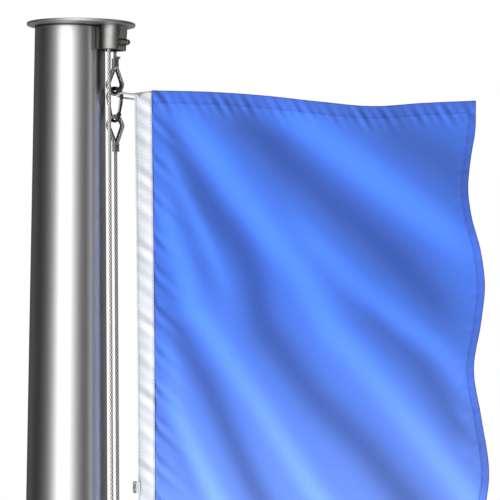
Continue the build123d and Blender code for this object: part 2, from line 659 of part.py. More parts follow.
save(halyard_line(FERRULE_TOP - ASSEMBLY_LENGTH, FERRULE_TOP - lower_assembly()), "halyard_middle")
save(hung(flag_heading()), "flag_heading")
save(hung(flag_field()), "flag_field")
save(hung(hoist_clip()), "hoist_clip")
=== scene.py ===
"""Finishes for a 5 m conical flagpole with an external halyard and a small portrait flag.

Metres, +Z up, the flag flies towards +X and the halyard hangs on the -Y side of it.
"""

import math

import bpy
import numpy as np
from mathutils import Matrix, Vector


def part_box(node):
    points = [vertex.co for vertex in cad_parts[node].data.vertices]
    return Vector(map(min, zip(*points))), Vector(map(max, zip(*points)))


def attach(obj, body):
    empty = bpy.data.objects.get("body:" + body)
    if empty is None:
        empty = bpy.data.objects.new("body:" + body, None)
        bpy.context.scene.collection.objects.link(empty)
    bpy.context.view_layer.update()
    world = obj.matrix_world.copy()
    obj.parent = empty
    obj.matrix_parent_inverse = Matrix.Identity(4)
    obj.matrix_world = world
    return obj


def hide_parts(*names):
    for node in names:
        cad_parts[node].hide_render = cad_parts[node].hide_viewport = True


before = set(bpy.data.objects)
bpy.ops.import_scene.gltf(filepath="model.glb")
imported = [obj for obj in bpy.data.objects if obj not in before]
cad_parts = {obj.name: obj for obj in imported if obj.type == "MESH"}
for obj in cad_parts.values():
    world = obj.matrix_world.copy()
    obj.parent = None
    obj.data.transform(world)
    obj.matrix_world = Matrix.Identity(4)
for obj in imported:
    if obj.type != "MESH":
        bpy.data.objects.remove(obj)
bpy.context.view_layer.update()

# ---------------------------------------------------------------- camera
# Square to the flag at the height of its upper half, rolled by a trace, and as far off as a
# long lens needs to take in half of the flag.
CAMERA_AT = (0.23055, -2.7305, 4.7178)
CAMERA_ROLL = math.radians(0.39)
CAMERA_LENS = 154.7
SENSOR = 36.0

camera = bpy.data.objects.new("camera", bpy.data.cameras.new("camera"))
bpy.context.scene.collection.objects.link(camera)
camera.location = CAMERA_AT
camera.rotation_euler = (math.pi / 2, -CAMERA_ROLL, 0)
camera.data.lens = CAMERA_LENS
camera.data.sensor_width = SENSOR
camera.data.clip_start, camera.data.clip_end = 0.05, 200
bpy.context.scene.camera = camera
bpy.context.scene.view_settings.view_transform = "Standard"


# ---------------------------------------------------------------- studio
# A pale floor, a white surround, a low soft key at the front left, and a tall ring that
# only gloss sees: dark drapes with one bright soft window and a weaker one to its right.
FLOOR_RADIUS = 14.0
FLOOR_DROP = 0.001
FLOOR_COLOUR = (0.86, 0.86, 0.85, 1)
FLOOR_GLOW = 0.6
RING_RADIUS = 6.0
RING_LOW, RING_HIGH = -8.0, 18.0
RING_TOP = 2.4
RING_BEHIND = 0.08
SURROUND_LEVEL = 0.40
KEY_AIM = (0.30, -0.02, 4.60)
KEY_OFFSET = (-1.82, -1.03, -1.50)
KEY_SIZE = 1.0
KEY_POWER = 122.0
# where each window, drape and gap is, in degrees round from the camera's side towards +X,
# and how bright it is: a wide front window, a shelf to its right, a slit, two rear panels
RING_STOPS = [
    (-150, 0.20), (-90, 0.04), (-65, 0.12), (-45, 0.42), (-25, 1.7), (0, 2.4), (12, 1.6),
    (30, 0.65), (50, 0.15), (67, 0.10), (76, 0.95), (86, 0.03), (130, 0.0), (145, 0.4),
]


class Flow:
    """A value that runs through a finish's nodes; arithmetic on it adds Math nodes."""

    def __init__(self, finish, socket):
        self.finish, self.socket = finish, socket

    def math(self, operation, *others):
        """One Math node on this value and the others."""
        return self.finish.node("ShaderNodeMath", {"operation": operation}, {
            i: value for i, value in enumerate((self, *others))})

    def __add__(self, other):
        return self.math("ADD", other)

    __radd__ = __add__

    def __sub__(self, other):
        return self.math("SUBTRACT", other)

    def __rsub__(self, other):
        return (self * -1) + other

    def __mul__(self, other):
        return self.math("MULTIPLY", other)

    __rmul__ = __mul__

    def __truediv__(self, other):
        return self.math("DIVIDE", other)

    def __abs__(self):
        return self.math("ABSOLUTE")

    def wave(self, pitch):
        """A sine of this value, with one wave to each pitch."""
        return (self * (2 * math.pi / pitch)).math("SINE")


class Finish:
    """A procedural material, or a world, and the one way in which nodes are added to it."""

    def __init__(self, name, holder=None, shader="BsdfPrincipled", out="OutputMaterial"):
        self.material = holder or bpy.data.materials.new(name)
        self.material.use_nodes = True
        self.tree = self.material.node_tree
        self.tree.nodes.clear()
        self.shader = self.tree.nodes.new("ShaderNode" + shader)
        self.out = self.tree.nodes.new("ShaderNode" + out)
        self.tree.links.new(self.shader.outputs[0], self.out.inputs["Surface"])

    def node(self, kind, settings=None, sockets=None, output=0):
        """Adds a node: its settings first, then the values or links of its sockets."""
        node = self.tree.nodes.new(kind)
        for name, value in (settings or {}).items():
            if name == "curve":
                line = node.mapping.curves[0]
                for place, level in value[1:-1]:
                    line.points.new(place, level)
                for point, (place, level) in zip(line.points, value):
                    point.location, point.handle_type = (place, level), "AUTO_CLAMPED"
                node.mapping.update()
            else:
                setattr(node, name, value)
        for key, value in (sockets or {}).items():
            if isinstance(value, Flow):
                self.tree.links.new(value.socket, node.inputs[key])
            elif value is not None:
                node.inputs[key].default_value = value
        return Flow(self, node.outputs[output])

    def set(self, **sockets):
        """Sets or links the shader's sockets; underscores stand for spaces."""
        for key, value in sockets.items():
            target = self.shader.inputs[key.replace("_", " ")]
            if isinstance(value, Flow):
                self.tree.links.new(value.socket, target)
            else:
                target.default_value = value

    def place(self, scale=(1, 1, 1)):
        """Object coordinates, stretched by scale."""
        where = self.node("ShaderNodeTexCoord", output="Object")
        return self.node("ShaderNodeMapping", {}, {"Vector": where, "Scale": scale})

    def parts(self, vector):
        """The three parts of a vector, as separate values."""
        split = self.node("ShaderNodeSeparateXYZ", {}, {0: vector}).socket.node
        return [Flow(self, part) for part in split.outputs]

    def uv(self):
        """The piece's own two surface measures, as separate values."""
        return self.parts(self.node("ShaderNodeUVMap", {"uv_map": "UVMap"}))[:2]

    def white_rays(self):
        """1 for the rays that see the studio as white: camera, glossy and transmission rays."""
        path = self.tree.nodes.new("ShaderNodeLightPath").outputs
        return (Flow(self, path["Is Camera Ray"]) + Flow(self, path["Is Glossy Ray"])
                + Flow(self, path["Is Transmission Ray"])).math("MINIMUM", 1.0)

    def noise(self, fineness, detail):
        """Noise with so many waves to the metre, one number for all three axes or three."""
        if not isinstance(fineness, tuple):
            fineness = (fineness, fineness, fineness)
        return self.node("ShaderNodeTexNoise", {}, {
            "Vector": self.place(fineness), "Scale": 1.0, "Detail": detail})

    def spread(self, value, low, high, new_low=0.0, new_high=1.0):
        """Value from low..high to new_low..new_high, held at both ends."""
        return self.node("ShaderNodeMapRange", {"interpolation_type": "SMOOTHSTEP"}, {
            "Value": value, "From Min": low, "From Max": high,
            "To Min": new_low, "To Max": new_high})

    def mix(self, factor, a, b):
        """Colour a, and b where factor is 1."""
        return self.node("ShaderNodeMix", {"data_type": "RGBA"}, {0: factor, 6: a, 7: b}, output=2)

    def bump(self, height, distance, strength):
        """A relief of height times distance, in metres, shown at a strength."""
        return self.node("ShaderNodeBump", {}, {
            "Height": height, "Distance": distance, "Strength": strength})

    def put_on(self, *nodes):
        """Gives the finish to CAD nodes, by their names."""
        for name in nodes:
            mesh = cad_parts[name].data
            mesh.materials.clear()
            mesh.materials.append(self.material)


def link_piece(name, data):
    """Puts a mesh or a lamp in the scene as an object at the origin."""
    piece = bpy.data.objects.new(name, data)
    bpy.context.scene.collection.objects.link(piece)
    return piece


# floor: a disc as one fan of points round its middle, whitened for the rays that see it white
turns = np.linspace(0, 2 * np.pi, 96, endpoint=False)
floor_mesh = bpy.data.meshes.new("floor")
floor_points = np.stack([
    FLOOR_RADIUS * np.cos(turns), FLOOR_RADIUS * np.sin(turns), 0 * turns - FLOOR_DROP], axis=1)
floor_mesh.from_pydata(floor_points.tolist(), [], [list(range(len(turns)))])
floor = link_piece("floor", floor_mesh)
floor_finish = Finish("floor_paper")
floor_finish.set(Base_Color=FLOOR_COLOUR, Roughness=0.9)
floor_glow = floor_finish.node("ShaderNodeEmission", {}, {"Color": FLOOR_COLOUR, "Strength": 1.0})
floor_mix = floor_finish.node("ShaderNodeMixShader", {}, {
    0: floor_finish.white_rays() * FLOOR_GLOW,
    1: Flow(floor_finish, floor_finish.shader.outputs[0]),
    2: floor_glow})
floor_finish.tree.links.new(floor_mix.socket, floor_finish.out.inputs["Surface"])
floor_mesh.materials.append(floor_finish.material)

# ring: an upright tube, its brightness read off a curve by the azimuth of each point
ring_turns = np.linspace(0, 2 * np.pi, 128, endpoint=False)
ring_points = [(RING_RADIUS * math.sin(t), -RING_RADIUS * math.cos(t), z)
               for z in (RING_LOW, RING_HIGH) for t in ring_turns]
count = len(ring_turns)
ring_mesh = bpy.data.meshes.new("reflector_ring")
ring_mesh.from_pydata(ring_points, [], [(i, (i + 1) % count, count + (i + 1) % count, count + i)
                                        for i in range(count)])
ring = link_piece("reflector_ring", ring_mesh)
ring_finish = Finish("reflector_cloth", shader="Emission")
ring_x, ring_y, _ = ring_finish.parts(ring_finish.place())
share = ring_x.math("ARCTAN2", ring_y * -1) / (2 * math.pi) + 0.5
ring_curve = [((azimuth + 180) / 360, level / RING_TOP) for azimuth, level in RING_STOPS]
ring_level = ring_finish.node("ShaderNodeFloatCurve", {
    "curve": [(0.0, RING_BEHIND), *ring_curve, (1.0, RING_BEHIND)]}, {1: share})
ring_finish.set(Strength=ring_level * RING_TOP, Color=(1, 1, 1, 1))
ring_mesh.materials.append(ring_finish.material)
for kind in ("camera", "diffuse", "shadow", "transmission", "volume_scatter"):
    setattr(ring, "visible_" + kind, False)

# surround: white to the rays that see it white, a plain level to everything else
world = bpy.data.worlds.new("surround")
bpy.context.scene.world = world
air = Finish("surround", world, "Background", "OutputWorld")
air.set(Strength=air.white_rays() * (1 - SURROUND_LEVEL) + SURROUND_LEVEL, Color=(1, 1, 1, 1))


# key light: a square lamp at the front left that only matt surfaces see
lamp = bpy.data.lights.new("key_light", "AREA")
lamp.shape, lamp.size, lamp.energy = "SQUARE", KEY_SIZE, KEY_POWER
key = link_piece("key_light", lamp)
key.location = [a + o for a, o in zip(KEY_AIM, KEY_OFFSET)]
key.rotation_euler = (-Vector(KEY_OFFSET)).to_track_quat("-Z", "Y").to_euler()
key.visible_camera = False
key.visible_glossy = False


# ---------------------------------------------------------------- shaft
# A drawn aluminium tube with a spun taper, satin ground along its length and anodised. A dark
# band of painted shadow is laid into its colour right under the cap.
CAP_SHADOW_BEGINS, CAP_SHADOW_FULL = 0.0031, 0.0017      # under the top of the tube
shaft_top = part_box("shaft")[1].z
shaft_finish = Finish("satin_shaft")
grain = shaft_finish.noise((900, 900, 2.2), 2.0)
streak = shaft_finish.noise((60, 60, 0.7), 3.0)
shaft_z = shaft_finish.parts(shaft_finish.place())[2]
# painted shadow: the tube's colour goes nearly black just under the cap, where the cap's shadow falls
cap_shadow = shaft_finish.spread(shaft_z, shaft_top - CAP_SHADOW_BEGINS, shaft_top - CAP_SHADOW_FULL)
satin = shaft_finish.mix(streak, (0.580, 0.577, 0.574, 1), (0.622, 0.620, 0.617, 1))
shaft_finish.set(
    Base_Color=shaft_finish.mix(cap_shadow * 0.9, satin, (0.06, 0.06, 0.06, 1)),
    Metallic=1.0,
    Specular_Tint=(0.40, 0.385, 0.37, 1),
    Roughness=shaft_finish.spread(grain * 0.5 + streak * 0.5, 0.3, 0.7, 0.27, 0.34),
    Normal=shaft_finish.bump(grain, 0.00002, 0.6),
)
shaft_finish.put_on("shaft")


# ---------------------------------------------------------------- base plate and gussets
# A thick aluminium plate with four holes for the anchor bolts, and four ribs welded between it
# and the tube. Both are blasted, and stained in soft patches by the weather.
base_finish = Finish("blasted_plate")
speckle = base_finish.noise(700, 4.0)
stain = base_finish.noise(9, 4.0)
base_finish.set(
    Base_Color=base_finish.mix(stain, (0.40, 0.395, 0.385, 1), (0.55, 0.545, 0.535, 1)),
    Metallic=1.0,
    Roughness=base_finish.spread(stain, 0.3, 0.7, 0.38, 0.52),
    Normal=base_finish.bump(speckle, 0.00012, 0.5),
)
base_finish.put_on("base_plate", "gussets")


# ---------------------------------------------------------------- cap
# A flat aluminium disc, set off-centre to shelter the sheave, over a spigot that plugs the
# tube. Both are turned, and duller than the tube.
cap_finish = Finish("turned_cap")
cap_grain = cap_finish.noise((500, 500, 2500), 2.0)
cap_stain = cap_finish.noise(22, 3.0)
cap_finish.set(
    Base_Color=cap_finish.mix(cap_stain, (0.42, 0.418, 0.416, 1), (0.56, 0.558, 0.556, 1)),
    Metallic=1.0,
    Roughness=cap_finish.spread(cap_grain, 0.3, 0.7, 0.42, 0.56),
    Normal=cap_finish.bump(cap_grain, 0.00012, 0.6),
)
cap_finish.put_on("cap_disc", "cap_spigot")


# ---------------------------------------------------------------- cowl and cheek
# A spun hood over the sheave with a flat for the axle's nut, in dark anodised aluminium, and
# the flat ear behind it; close to the tube both are darkened by painted shade.
cowl_finish = Finish("anodised_hood")
orange = cowl_finish.noise(450, 2.0)
rub = cowl_finish.noise(40, 5.0)
hood_x, hood_y, _ = cowl_finish.parts(cowl_finish.place())
from_axis = (hood_x * hood_x + hood_y * hood_y).math("SQRT")
# painted shade: the colour goes nearly black close to the tube, with a ragged edge
tube_side_shade = cowl_finish.spread(from_axis + (rub - 0.5) * 0.004, 0.0515, 0.0650)
hood_grey = cowl_finish.mix(cowl_finish.spread(rub, 0.45, 0.75), (0.235, 0.232, 0.228, 1),
                            (0.31, 0.306, 0.302, 1))
cowl_finish.set(
    Base_Color=cowl_finish.mix(tube_side_shade, (0.075, 0.073, 0.07, 1), hood_grey),
    Metallic=1.0,
    Roughness=cowl_finish.spread(orange, 0.3, 0.7, 0.18, 0.26),
    Normal=cowl_finish.bump(orange, 0.00005, 0.4),
)
cowl_finish.put_on("sheave_cowl", "sheave_cheek")


# ---------------------------------------------------------------- axle, nut and sheave
# A bright steel bolt through hood and ear carries a black nylon wheel between two nylon
# bushes, and a domed nut, browned by rust, holds it in front.


def grained(name, fineness, detail, dark, light, rough, relief, metallic=1.0):
    """A finish of one even grain, which runs its colour from dark to light, its roughness
    between the two values of rough, and a bump with relief's distance and strength."""
    finish = Finish(name)
    grain = finish.noise(fineness, detail)
    finish.set(
        Base_Color=finish.mix(grain, (*dark, 1), (*light, 1)),
        Metallic=metallic,
        Roughness=finish.spread(grain, 0.3, 0.7, *rough),
        Normal=finish.bump(grain, *relief),
    )
    return finish


steel_finish = grained("bright_steel", 300, 4.0, (0.50, 0.46, 0.42), (0.62, 0.60, 0.57),
                       rough=(0.12, 0.26), relief=(0.00003, 0.4))
steel_finish.put_on("axle_bolt", "cleat_screws")

nut_finish = grained("browned_nut", 220, 4.0, (0.05, 0.042, 0.036), (0.20, 0.175, 0.15),
                     rough=(0.24, 0.40), relief=(0.00008, 0.5))
nut_finish.put_on("acorn_nut")

nylon_finish = grained("black_nylon", 800, 3.0, (0.012, 0.012, 0.012), (0.028, 0.027, 0.026),
                       rough=(0.38, 0.52), relief=(0.00005, 0.4), metallic=0.0)
nylon_finish.put_on("sheave", "inner_spacer", "outer_spacer")


# ---------------------------------------------------------------- cleat
# A cast aluminium cleat with two horns, held to the tube by two screws. Its skin is satin,
# with the slight grain of the mould.
cleat_finish = grained("cast_cleat", 350, 4.0, (0.48, 0.475, 0.465), (0.60, 0.595, 0.585),
                       rough=(0.28, 0.42), relief=(0.0001, 0.5))
cleat_finish.put_on("cleat")


# ---------------------------------------------------------------- halyard
# A plaited polyester line, 4.4 mm thick and grey with age. It runs up from the cleat, over
# the sheave, through two snap-hook assemblies and back down, and stays taut.
HALYARD_TURN = math.radians(16.5)
SHEAVE_OUT = 0.0567
AXLE_Z = 4.9787
PITCH_R = 0.011
ROPE_R = 0.0022
CLEAT_Z = 1.2
CLEAT_ROPE_R = 0.108
POST_STRAIGHT = 0.0145
CLEAT_TURNS = 3
TURN_PITCH = 0.0048
PLAIT_STRANDS = 4
PLAIT_PITCH = 0.0056
PLAIT_DEPTH = 0.20
PLAIT_PROUD = 0.05       # the strands' tops stand out over the rope's nominal thickness
ROUND = 16               # columns of the plaited tube
ROPE_STEP = 0.00085      # rows of the plaited tube, along the halyard
FLARE_REACH = 0.0025     # how far from its cut end the rope opens

outward = np.array([math.cos(HALYARD_TURN), -math.sin(HALYARD_TURN), 0])
around = np.array([math.sin(HALYARD_TURN), math.cos(HALYARD_TURN), 0])
up = np.array([0, 0, 1.0])
lean = math.atan2(CLEAT_ROPE_R - SHEAVE_OUT, AXLE_Z - CLEAT_Z)
along_rope = up * math.cos(lean) - outward * math.sin(lean)
off_pole = outward * math.cos(lean) + up * math.sin(lean)
halyard_origin = outward * SHEAVE_OUT + up * AXLE_Z
halyard_axes = np.array([around, along_rope, off_pole])
cleat_along = -(AXLE_Z - CLEAT_Z) / math.cos(lean)


def on_halyard(points):
    """Points of the halyard's frame (round the shaft, up the rope, outward) in the world."""
    return halyard_origin + np.asarray(points) @ halyard_axes


def turn_y(degrees):
    """Row vectors of a frame turned about the rope's direction."""
    c, s = math.cos(math.radians(degrees)), math.sin(math.radians(degrees))
    return np.array([[c, 0, -s], [0, 1, 0], [s, 0, c]])


def hung(points, y, turned=0.0, shift=(0, 0, 0), own_turn=0.0):
    """Points drawn in a plane of their own, turned by own_turn and shifted in the flag's plane,
    at y up the hook side's rope; the assembly as a whole is turned by turned."""
    local = np.asarray(points) @ turn_y(own_turn) + np.asarray(shift)
    local = local @ turn_y(math.degrees(HALYARD_TURN) - 90 + turned)
    return on_halyard(local + np.array([PITCH_R, y, 0]))


def hung_way(direction, turned=0.0, own_turn=0.0):
    """A direction drawn in such a plane, in the world."""
    ends = hung([direction, (0, 0, 0)], 0.0, turned, own_turn=own_turn)
    return ends[0] - ends[1]


def bent_route(corners, radii, step, closed=False):
    """Points at even steps along straight runs whose corners are rounded: each arc touches
    its two runs at radius times the tangent of half the turn from the corner."""
    corners = [np.asarray(c, float) for c in corners]
    count = len(corners)
    inner = range(count) if closed else range(1, count - 1)
    line = [] if closed else [corners[0]]
    for i, radius in zip(inner, radii):
        before, here, after = corners[i - 1], corners[i], corners[(i + 1) % count]
        a = (before - here) / np.linalg.norm(before - here)
        b = (after - here) / np.linalg.norm(after - here)
        half = math.acos(max(-1.0, min(1.0, float(a @ b)))) / 2
        centre = here + (a + b) / np.linalg.norm(a + b) * radius / math.sin(half)
        start = here + a * radius / math.tan(half) - centre
        end = here + b * radius / math.tan(half) - centre
        sweep = math.pi - 2 * half
        parts = max(2, int(sweep * radius / step * 1.5))
        t = np.linspace(0, 1, parts + 1)[:, None]
        arc = (np.sin((1 - t) * sweep) * start + np.sin(t * sweep) * end) / math.sin(sweep)
        line.extend(centre + arc)
    line.extend([line[0]] if closed else [corners[-1]])
    line = np.array(line)
    lengths = np.concatenate([[0], np.cumsum(np.linalg.norm(np.diff(line, axis=0), axis=1))])
    number = max(2, int(round(lengths[-1] / step)))
    even = np.linspace(0, lengths[-1], number + 1)
    return np.stack([np.interp(even, lengths, line[:, k]) for k in range(3)], axis=1), even


def grid_part(points, uv, wrap=False, loop=False, caps=False):
    """Vertices, faces and surface measures of quads on a grid of points, rows by columns: wrap
    joins the last column to the first, loop the last row to the first, and caps close both
    ends with a face each."""
    rows, columns = points.shape[:2]
    index = np.arange(rows * columns).reshape(rows, columns)
    if wrap:
        index = np.concatenate([index, index[:, :1]], axis=1)
    if loop:
        index = np.concatenate([index, index[:1]], axis=0)
    quads = lambda grid: np.stack(
        [grid[:-1, :-1], grid[:-1, 1:], grid[1:, 1:], grid[1:, :-1]], axis=2)
    faces = quads(index).reshape(-1, 4).tolist()
    marks = quads(uv).reshape(-1, 2)
    if caps:
        faces += [index[0, :columns].tolist()[::-1], index[-1, :columns].tolist()]
        marks = np.concatenate([marks, uv[0, :columns][::-1], uv[-1, :columns]])
    return points.reshape(-1, 3), faces, marks


def mesh_of(name, parts, smooth=True):
    """One mesh out of parts, each of them vertices, faces and surface measures."""
    faces, start = [], 0
    for vertices, part_faces, _ in parts:
        faces += [[start + i for i in face] for face in part_faces]
        start += len(vertices)
    mesh = bpy.data.meshes.new(name)
    mesh.from_pydata(np.concatenate([part[0] for part in parts]).tolist(), [], faces)
    marks = np.concatenate([part[2] for part in parts]).astype(np.float32)
    mesh.uv_layers.new(name="UVMap").uv.foreach_set("vector", marks.ravel())
    mesh.polygons.foreach_set("use_smooth", [smooth] * len(mesh.polygons))
    mesh.update()
    return mesh


def add_piece(name, mesh, material, body="pole", nodes=()):
    """Adds a finished piece that rides a body and stands for the nodes, if there are any."""
    mesh.materials.append(material)
    piece = link_piece(name, mesh)
    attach(piece, body)
    if nodes:
        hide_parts(*nodes)
    return piece


def plait(route, even, normal, radius, closed=False, flare=0.0):
    """A plaited tube: at angle t round the route and s along it, the radius is drawn in between
    the strands by the root of |sin(pi p) sin(pi q)|, where p and q are the strands' count
    times t over a full turn, plus and minus s over the plait's pitch. A flare widens its end."""
    points = route[:-1] if closed else route
    s = (even[:-1] if closed else even)[:, None]
    forward = np.gradient(route, axis=0)
    if closed:
        forward[0] = forward[-1] = route[1] - route[-2]
        forward = forward[:-1]
    forward /= np.linalg.norm(forward, axis=1)[:, None]
    side = np.cross(normal, forward)
    angle = np.linspace(0, 2 * np.pi, ROUND, endpoint=False)[None, :]
    pitches = max(1, round(even[-1] / PLAIT_PITCH))
    pitch = even[-1] / pitches
    p = PLAIT_STRANDS * angle / (2 * np.pi) + s / pitch
    q = PLAIT_STRANDS * angle / (2 * np.pi) - s / pitch
    pillow = np.sqrt(np.abs(np.sin(np.pi * p) * np.sin(np.pi * q)))
    r = radius * (1 + PLAIT_PROUD - PLAIT_DEPTH + PLAIT_DEPTH * pillow)
    r = r * (1 + flare * np.clip(1 - (even[-1] - s) / FLARE_REACH, 0, 1))
    points = points[:, None, :] + r[..., None] * (
        np.cos(angle)[..., None] * side[:, None, :] + np.sin(angle)[..., None] * normal)
    columns = np.arange(ROUND + 1) / ROUND
    rows = np.append(s[:, 0], even[-1]) if closed else s[:, 0]
    uv = np.stack(np.meshgrid(columns, rows / pitch), axis=2)
    return points, uv


def plait_relief(finish):
    """The plait's relief between its strands, |sin(pi p) sin(pi q)|, and p and q themselves."""
    round_share, along_share = finish.uv()
    p = round_share * PLAIT_STRANDS + along_share
    q = round_share * PLAIT_STRANDS - along_share
    return abs(p.wave(2) * q.wave(2)), p, q


rope_finish = Finish("plaited_line")
pillow, strand_p, strand_q = plait_relief(rope_finish)
parity = ((strand_p.math("FLOOR") + strand_q.math("FLOOR")) * 0.5).math("FRACT") * 2
lay = strand_p * (1 - parity) + strand_q * parity
fibres = lay.wave(0.2) * 0.5 + 0.5
grime = rope_finish.noise((60, 60, 20), 4.0)
fuzz = rope_finish.noise(900, 3.0)
worn = rope_finish.mix(grime, (0.66, 0.65, 0.63, 1), (0.88, 0.87, 0.85, 1))
# painted shade: the rope's colour goes nearly black in the gaps between the strands
strand_gap_shade = rope_finish.spread(pillow, 0.08, 0.66, 1.0, 0.0)
rope_finish.set(
    Base_Color=rope_finish.mix(strand_gap_shade * 0.93, worn, (0.05, 0.047, 0.044, 1)),
    Roughness=rope_finish.spread(fuzz, 0.3, 0.7, 0.62, 0.82),
    Normal=rope_finish.bump(pillow * 0.7 + fibres * 0.2 + fuzz * 0.15, 0.0003, 0.7),
)


def rope_piece(name, nodes, runs, finish=rope_finish):
    """Joins plaited runs, each (points, uv, closed), into one piece that stands for the nodes."""
    parts = [grid_part(points, uv, wrap=True, loop=closed, caps=not closed)
             for points, uv, closed in runs]
    add_piece(name, mesh_of(name, parts), finish.material, nodes=nodes)


def halyard_run(corners, radii, closed=False, out=0.0):
    """A plaited run of the halyard through corners in its own frame, off the pole by out."""
    route, even = bent_route([(x, y, out) for x, y in corners], radii, ROPE_STEP, closed)
    points, uv = plait(on_halyard(route), even, off_pole, ROPE_R, closed)
    return points, uv, closed


FERRULE_TOP = -0.0197
FERRULE_LENGTH = 0.009
EYE_LENGTH = 0.0358
EYE_SEAT = 0.00455       # from the middle of the rope at the eye's end to the hook's bow
HOOK_LENGTH = 0.0458
HOOK_TOP_BOW = 0.0052
HOOK_FOOT_BOW = 0.0036
HOOK_REACH = FERRULE_LENGTH + EYE_LENGTH - EYE_SEAT
ASSEMBLY_LENGTH = 2 * HOOK_REACH - HOOK_TOP_BOW - HOOK_FOOT_BOW + HOOK_LENGTH
FLAG_HEIGHT = 1.0
GROMMET_IN = 0.0062
lower_drop = (FLAG_HEIGHT - 2 * GROMMET_IN) / math.cos(lean)
foot = cleat_along - POST_STRAIGHT
BEND_R = PITCH_R - 1e-5  # a hair under the half width, so that two bends never meet
rope_piece("halyard_front", ["halyard_upper"], [halyard_run(
    [(-PITCH_R, foot), (-PITCH_R, PITCH_R), (PITCH_R, PITCH_R), (PITCH_R, FERRULE_TOP)],
    [BEND_R, BEND_R])])
rope_piece("halyard_between", ["halyard_middle"], [halyard_run(
    [(PITCH_R, FERRULE_TOP - ASSEMBLY_LENGTH), (PITCH_R, FERRULE_TOP - lower_drop)], [])])
rope_piece("halyard_back", ["halyard_lower"], [halyard_run(
    [(-PITCH_R, foot), (-PITCH_R, foot - PITCH_R), (PITCH_R, foot - PITCH_R),
     (PITCH_R, FERRULE_TOP - lower_drop - ASSEMBLY_LENGTH)], [BEND_R, BEND_R])])
turn_end = POST_STRAIGHT + PITCH_R
rope_piece("cleat_hitch", ["cleat_turns"], [halyard_run(
    [(-PITCH_R, cleat_along - turn_end), (-PITCH_R, cleat_along + turn_end),
     (PITCH_R, cleat_along + turn_end), (PITCH_R, cleat_along - turn_end)],
    [BEND_R] * 4, closed=True, out=-TURN_PITCH * i) for i in range(1, CLEAT_TURNS + 1)])


# ---------------------------------------------------------------- snap-hook assemblies
# Each is an eye of the same line crimped round a black thimble, above and below a black
# forged snap hook, with a short loop of thin line to the corner of the flag.
FERRULE_SHIFT = 0.0003
EYE_TURN = 30.0
EYE_LEAN = -0.001
EYE_SHOULDER = 0.0246
EYE_HALF_WIDTH = 0.0114
EYE_END_HALF = 0.0052
EYE_BENDS = [0.009, 0.0065, 0.006, 0.006, 0.0065, 0.009]
LEG_APART = 0.00235
HOOK_TURN = -32.0
LOWER_TURN = 90.0
HOOK_TOP = FERRULE_TOP - HOOK_REACH + HOOK_TOP_BOW
HOOK_TOP_R = 0.0126
HOOK_SIDE = 0.0035
LOOP_SEAT_ANGLE = math.radians(5)
LOOP_TILT = {"upper": 28.0, "lower": -28.0}
LOOP_R = 0.0014
LOOP_BEND_R = 0.0052
FLAG_OUT = 0.0235
FLAG_TOP = -0.0628
TAIL_LENGTH = 0.003
TAIL_GAP = 0.0004
FINE_STEP = 0.0006       # rows of the eyes and loops
ASSEMBLIES = [("upper", 0.0, 0.0), ("lower", lower_drop, LOWER_TURN)]

eye_across = EYE_LEAN * EYE_SHOULDER / EYE_LENGTH
eye_corners = [
    (-LEG_APART, 0, 0), (-LEG_APART, -ROPE_R, 0), (eye_across - EYE_HALF_WIDTH, -EYE_SHOULDER, 0),
    (EYE_LEAN - EYE_END_HALF, -EYE_LENGTH, 0), (EYE_LEAN + EYE_END_HALF, -EYE_LENGTH, 0),
    (eye_across + EYE_HALF_WIDTH, -EYE_SHOULDER, 0), (LEG_APART, -ROPE_R, 0), (LEG_APART, 0, 0)]
eye_line, eye_even = bent_route(eye_corners, EYE_BENDS, FINE_STEP)
eye_shift = np.array([FERRULE_SHIFT, 0, 0])
hook_shift = eye_shift + np.array([EYE_LEAN, 0, 0]) @ turn_y(EYE_TURN)


def eye_piece(place, end, y, turned, flip):
    """The eye's plaited run; flip turns it over for the lower end of an assembly."""
    line = eye_line * np.array([1, flip, 1])
    route = hung(line, y, turned, eye_shift, EYE_TURN)
    points, uv = plait(route, eye_even, hung_way((0, 0, 1), turned, EYE_TURN), ROPE_R)
    rope_piece(f"{place}_rope_eye_{end}", [f"{place}_eye_{end}"], [(points, uv, False)])


# The corner loops are whiter, newer cord than the halyard, with a lighter painted shade between the
# strands.
cord_finish = Finish("white_cord")
cord_relief, _, _ = plait_relief(cord_finish)
cord_fuzz = cord_finish.noise(900, 3.0)
# painted shade: the cord's colour turns dark grey-blue in the gaps between the strands
cord_gap_shade = cord_finish.spread(cord_relief, 0.0, 0.45, 0.9, 0.0)
cord_finish.set(
    Base_Color=cord_finish.mix(cord_gap_shade, (0.88, 0.89, 0.93, 1), (0.20, 0.21, 0.25, 1)),
    Roughness=cord_finish.spread(cord_fuzz, 0.3, 0.7, 0.6, 0.8),
    Normal=cord_finish.bump(cord_relief * 0.7 + cord_fuzz * 0.15, 0.0003, 0.7),
)


def flag_loop_piece(place, drop, turned):
    """A closed thin loop: two runs from the hook's bow to the corner hole, with round ends."""
    seat_r = HOOK_TOP_R - HOOK_SIDE / 2
    bow = [[seat_r * math.cos(LOOP_SEAT_ANGLE), seat_r * math.sin(LOOP_SEAT_ANGLE) - HOOK_TOP_R, 0]]
    start = ((bow @ turn_y(HOOK_TURN) + hook_shift) @ turn_y(turned))[0] + np.array([0, HOOK_TOP, 0])
    end = np.array([FLAG_OUT + GROMMET_IN, FLAG_TOP - GROMMET_IN, 0])
    run = np.linalg.norm(end - start)
    forward = (end - start) / run
    tilt = math.radians(LOOP_TILT[place])
    normal = np.cross(forward, [0, math.sin(tilt), math.cos(tilt)])
    normal /= np.linalg.norm(normal)
    side = np.cross(normal, forward)
    r = LOOP_BEND_R
    corners = [start - forward * r - side * r, start + forward * run - side * r,
               start + forward * run + side * r, start - forward * r + side * r]
    route, even = bent_route(corners, [r - 1e-5] * 4, FINE_STEP, closed=True)
    points, uv = plait(hung(route, -drop), even, hung_way(normal), LOOP_R, closed=True)
    rope_piece(f"{place}_corner_loop", [f"{place}_flag_loop"], [(points, uv, True)], cord_finish)


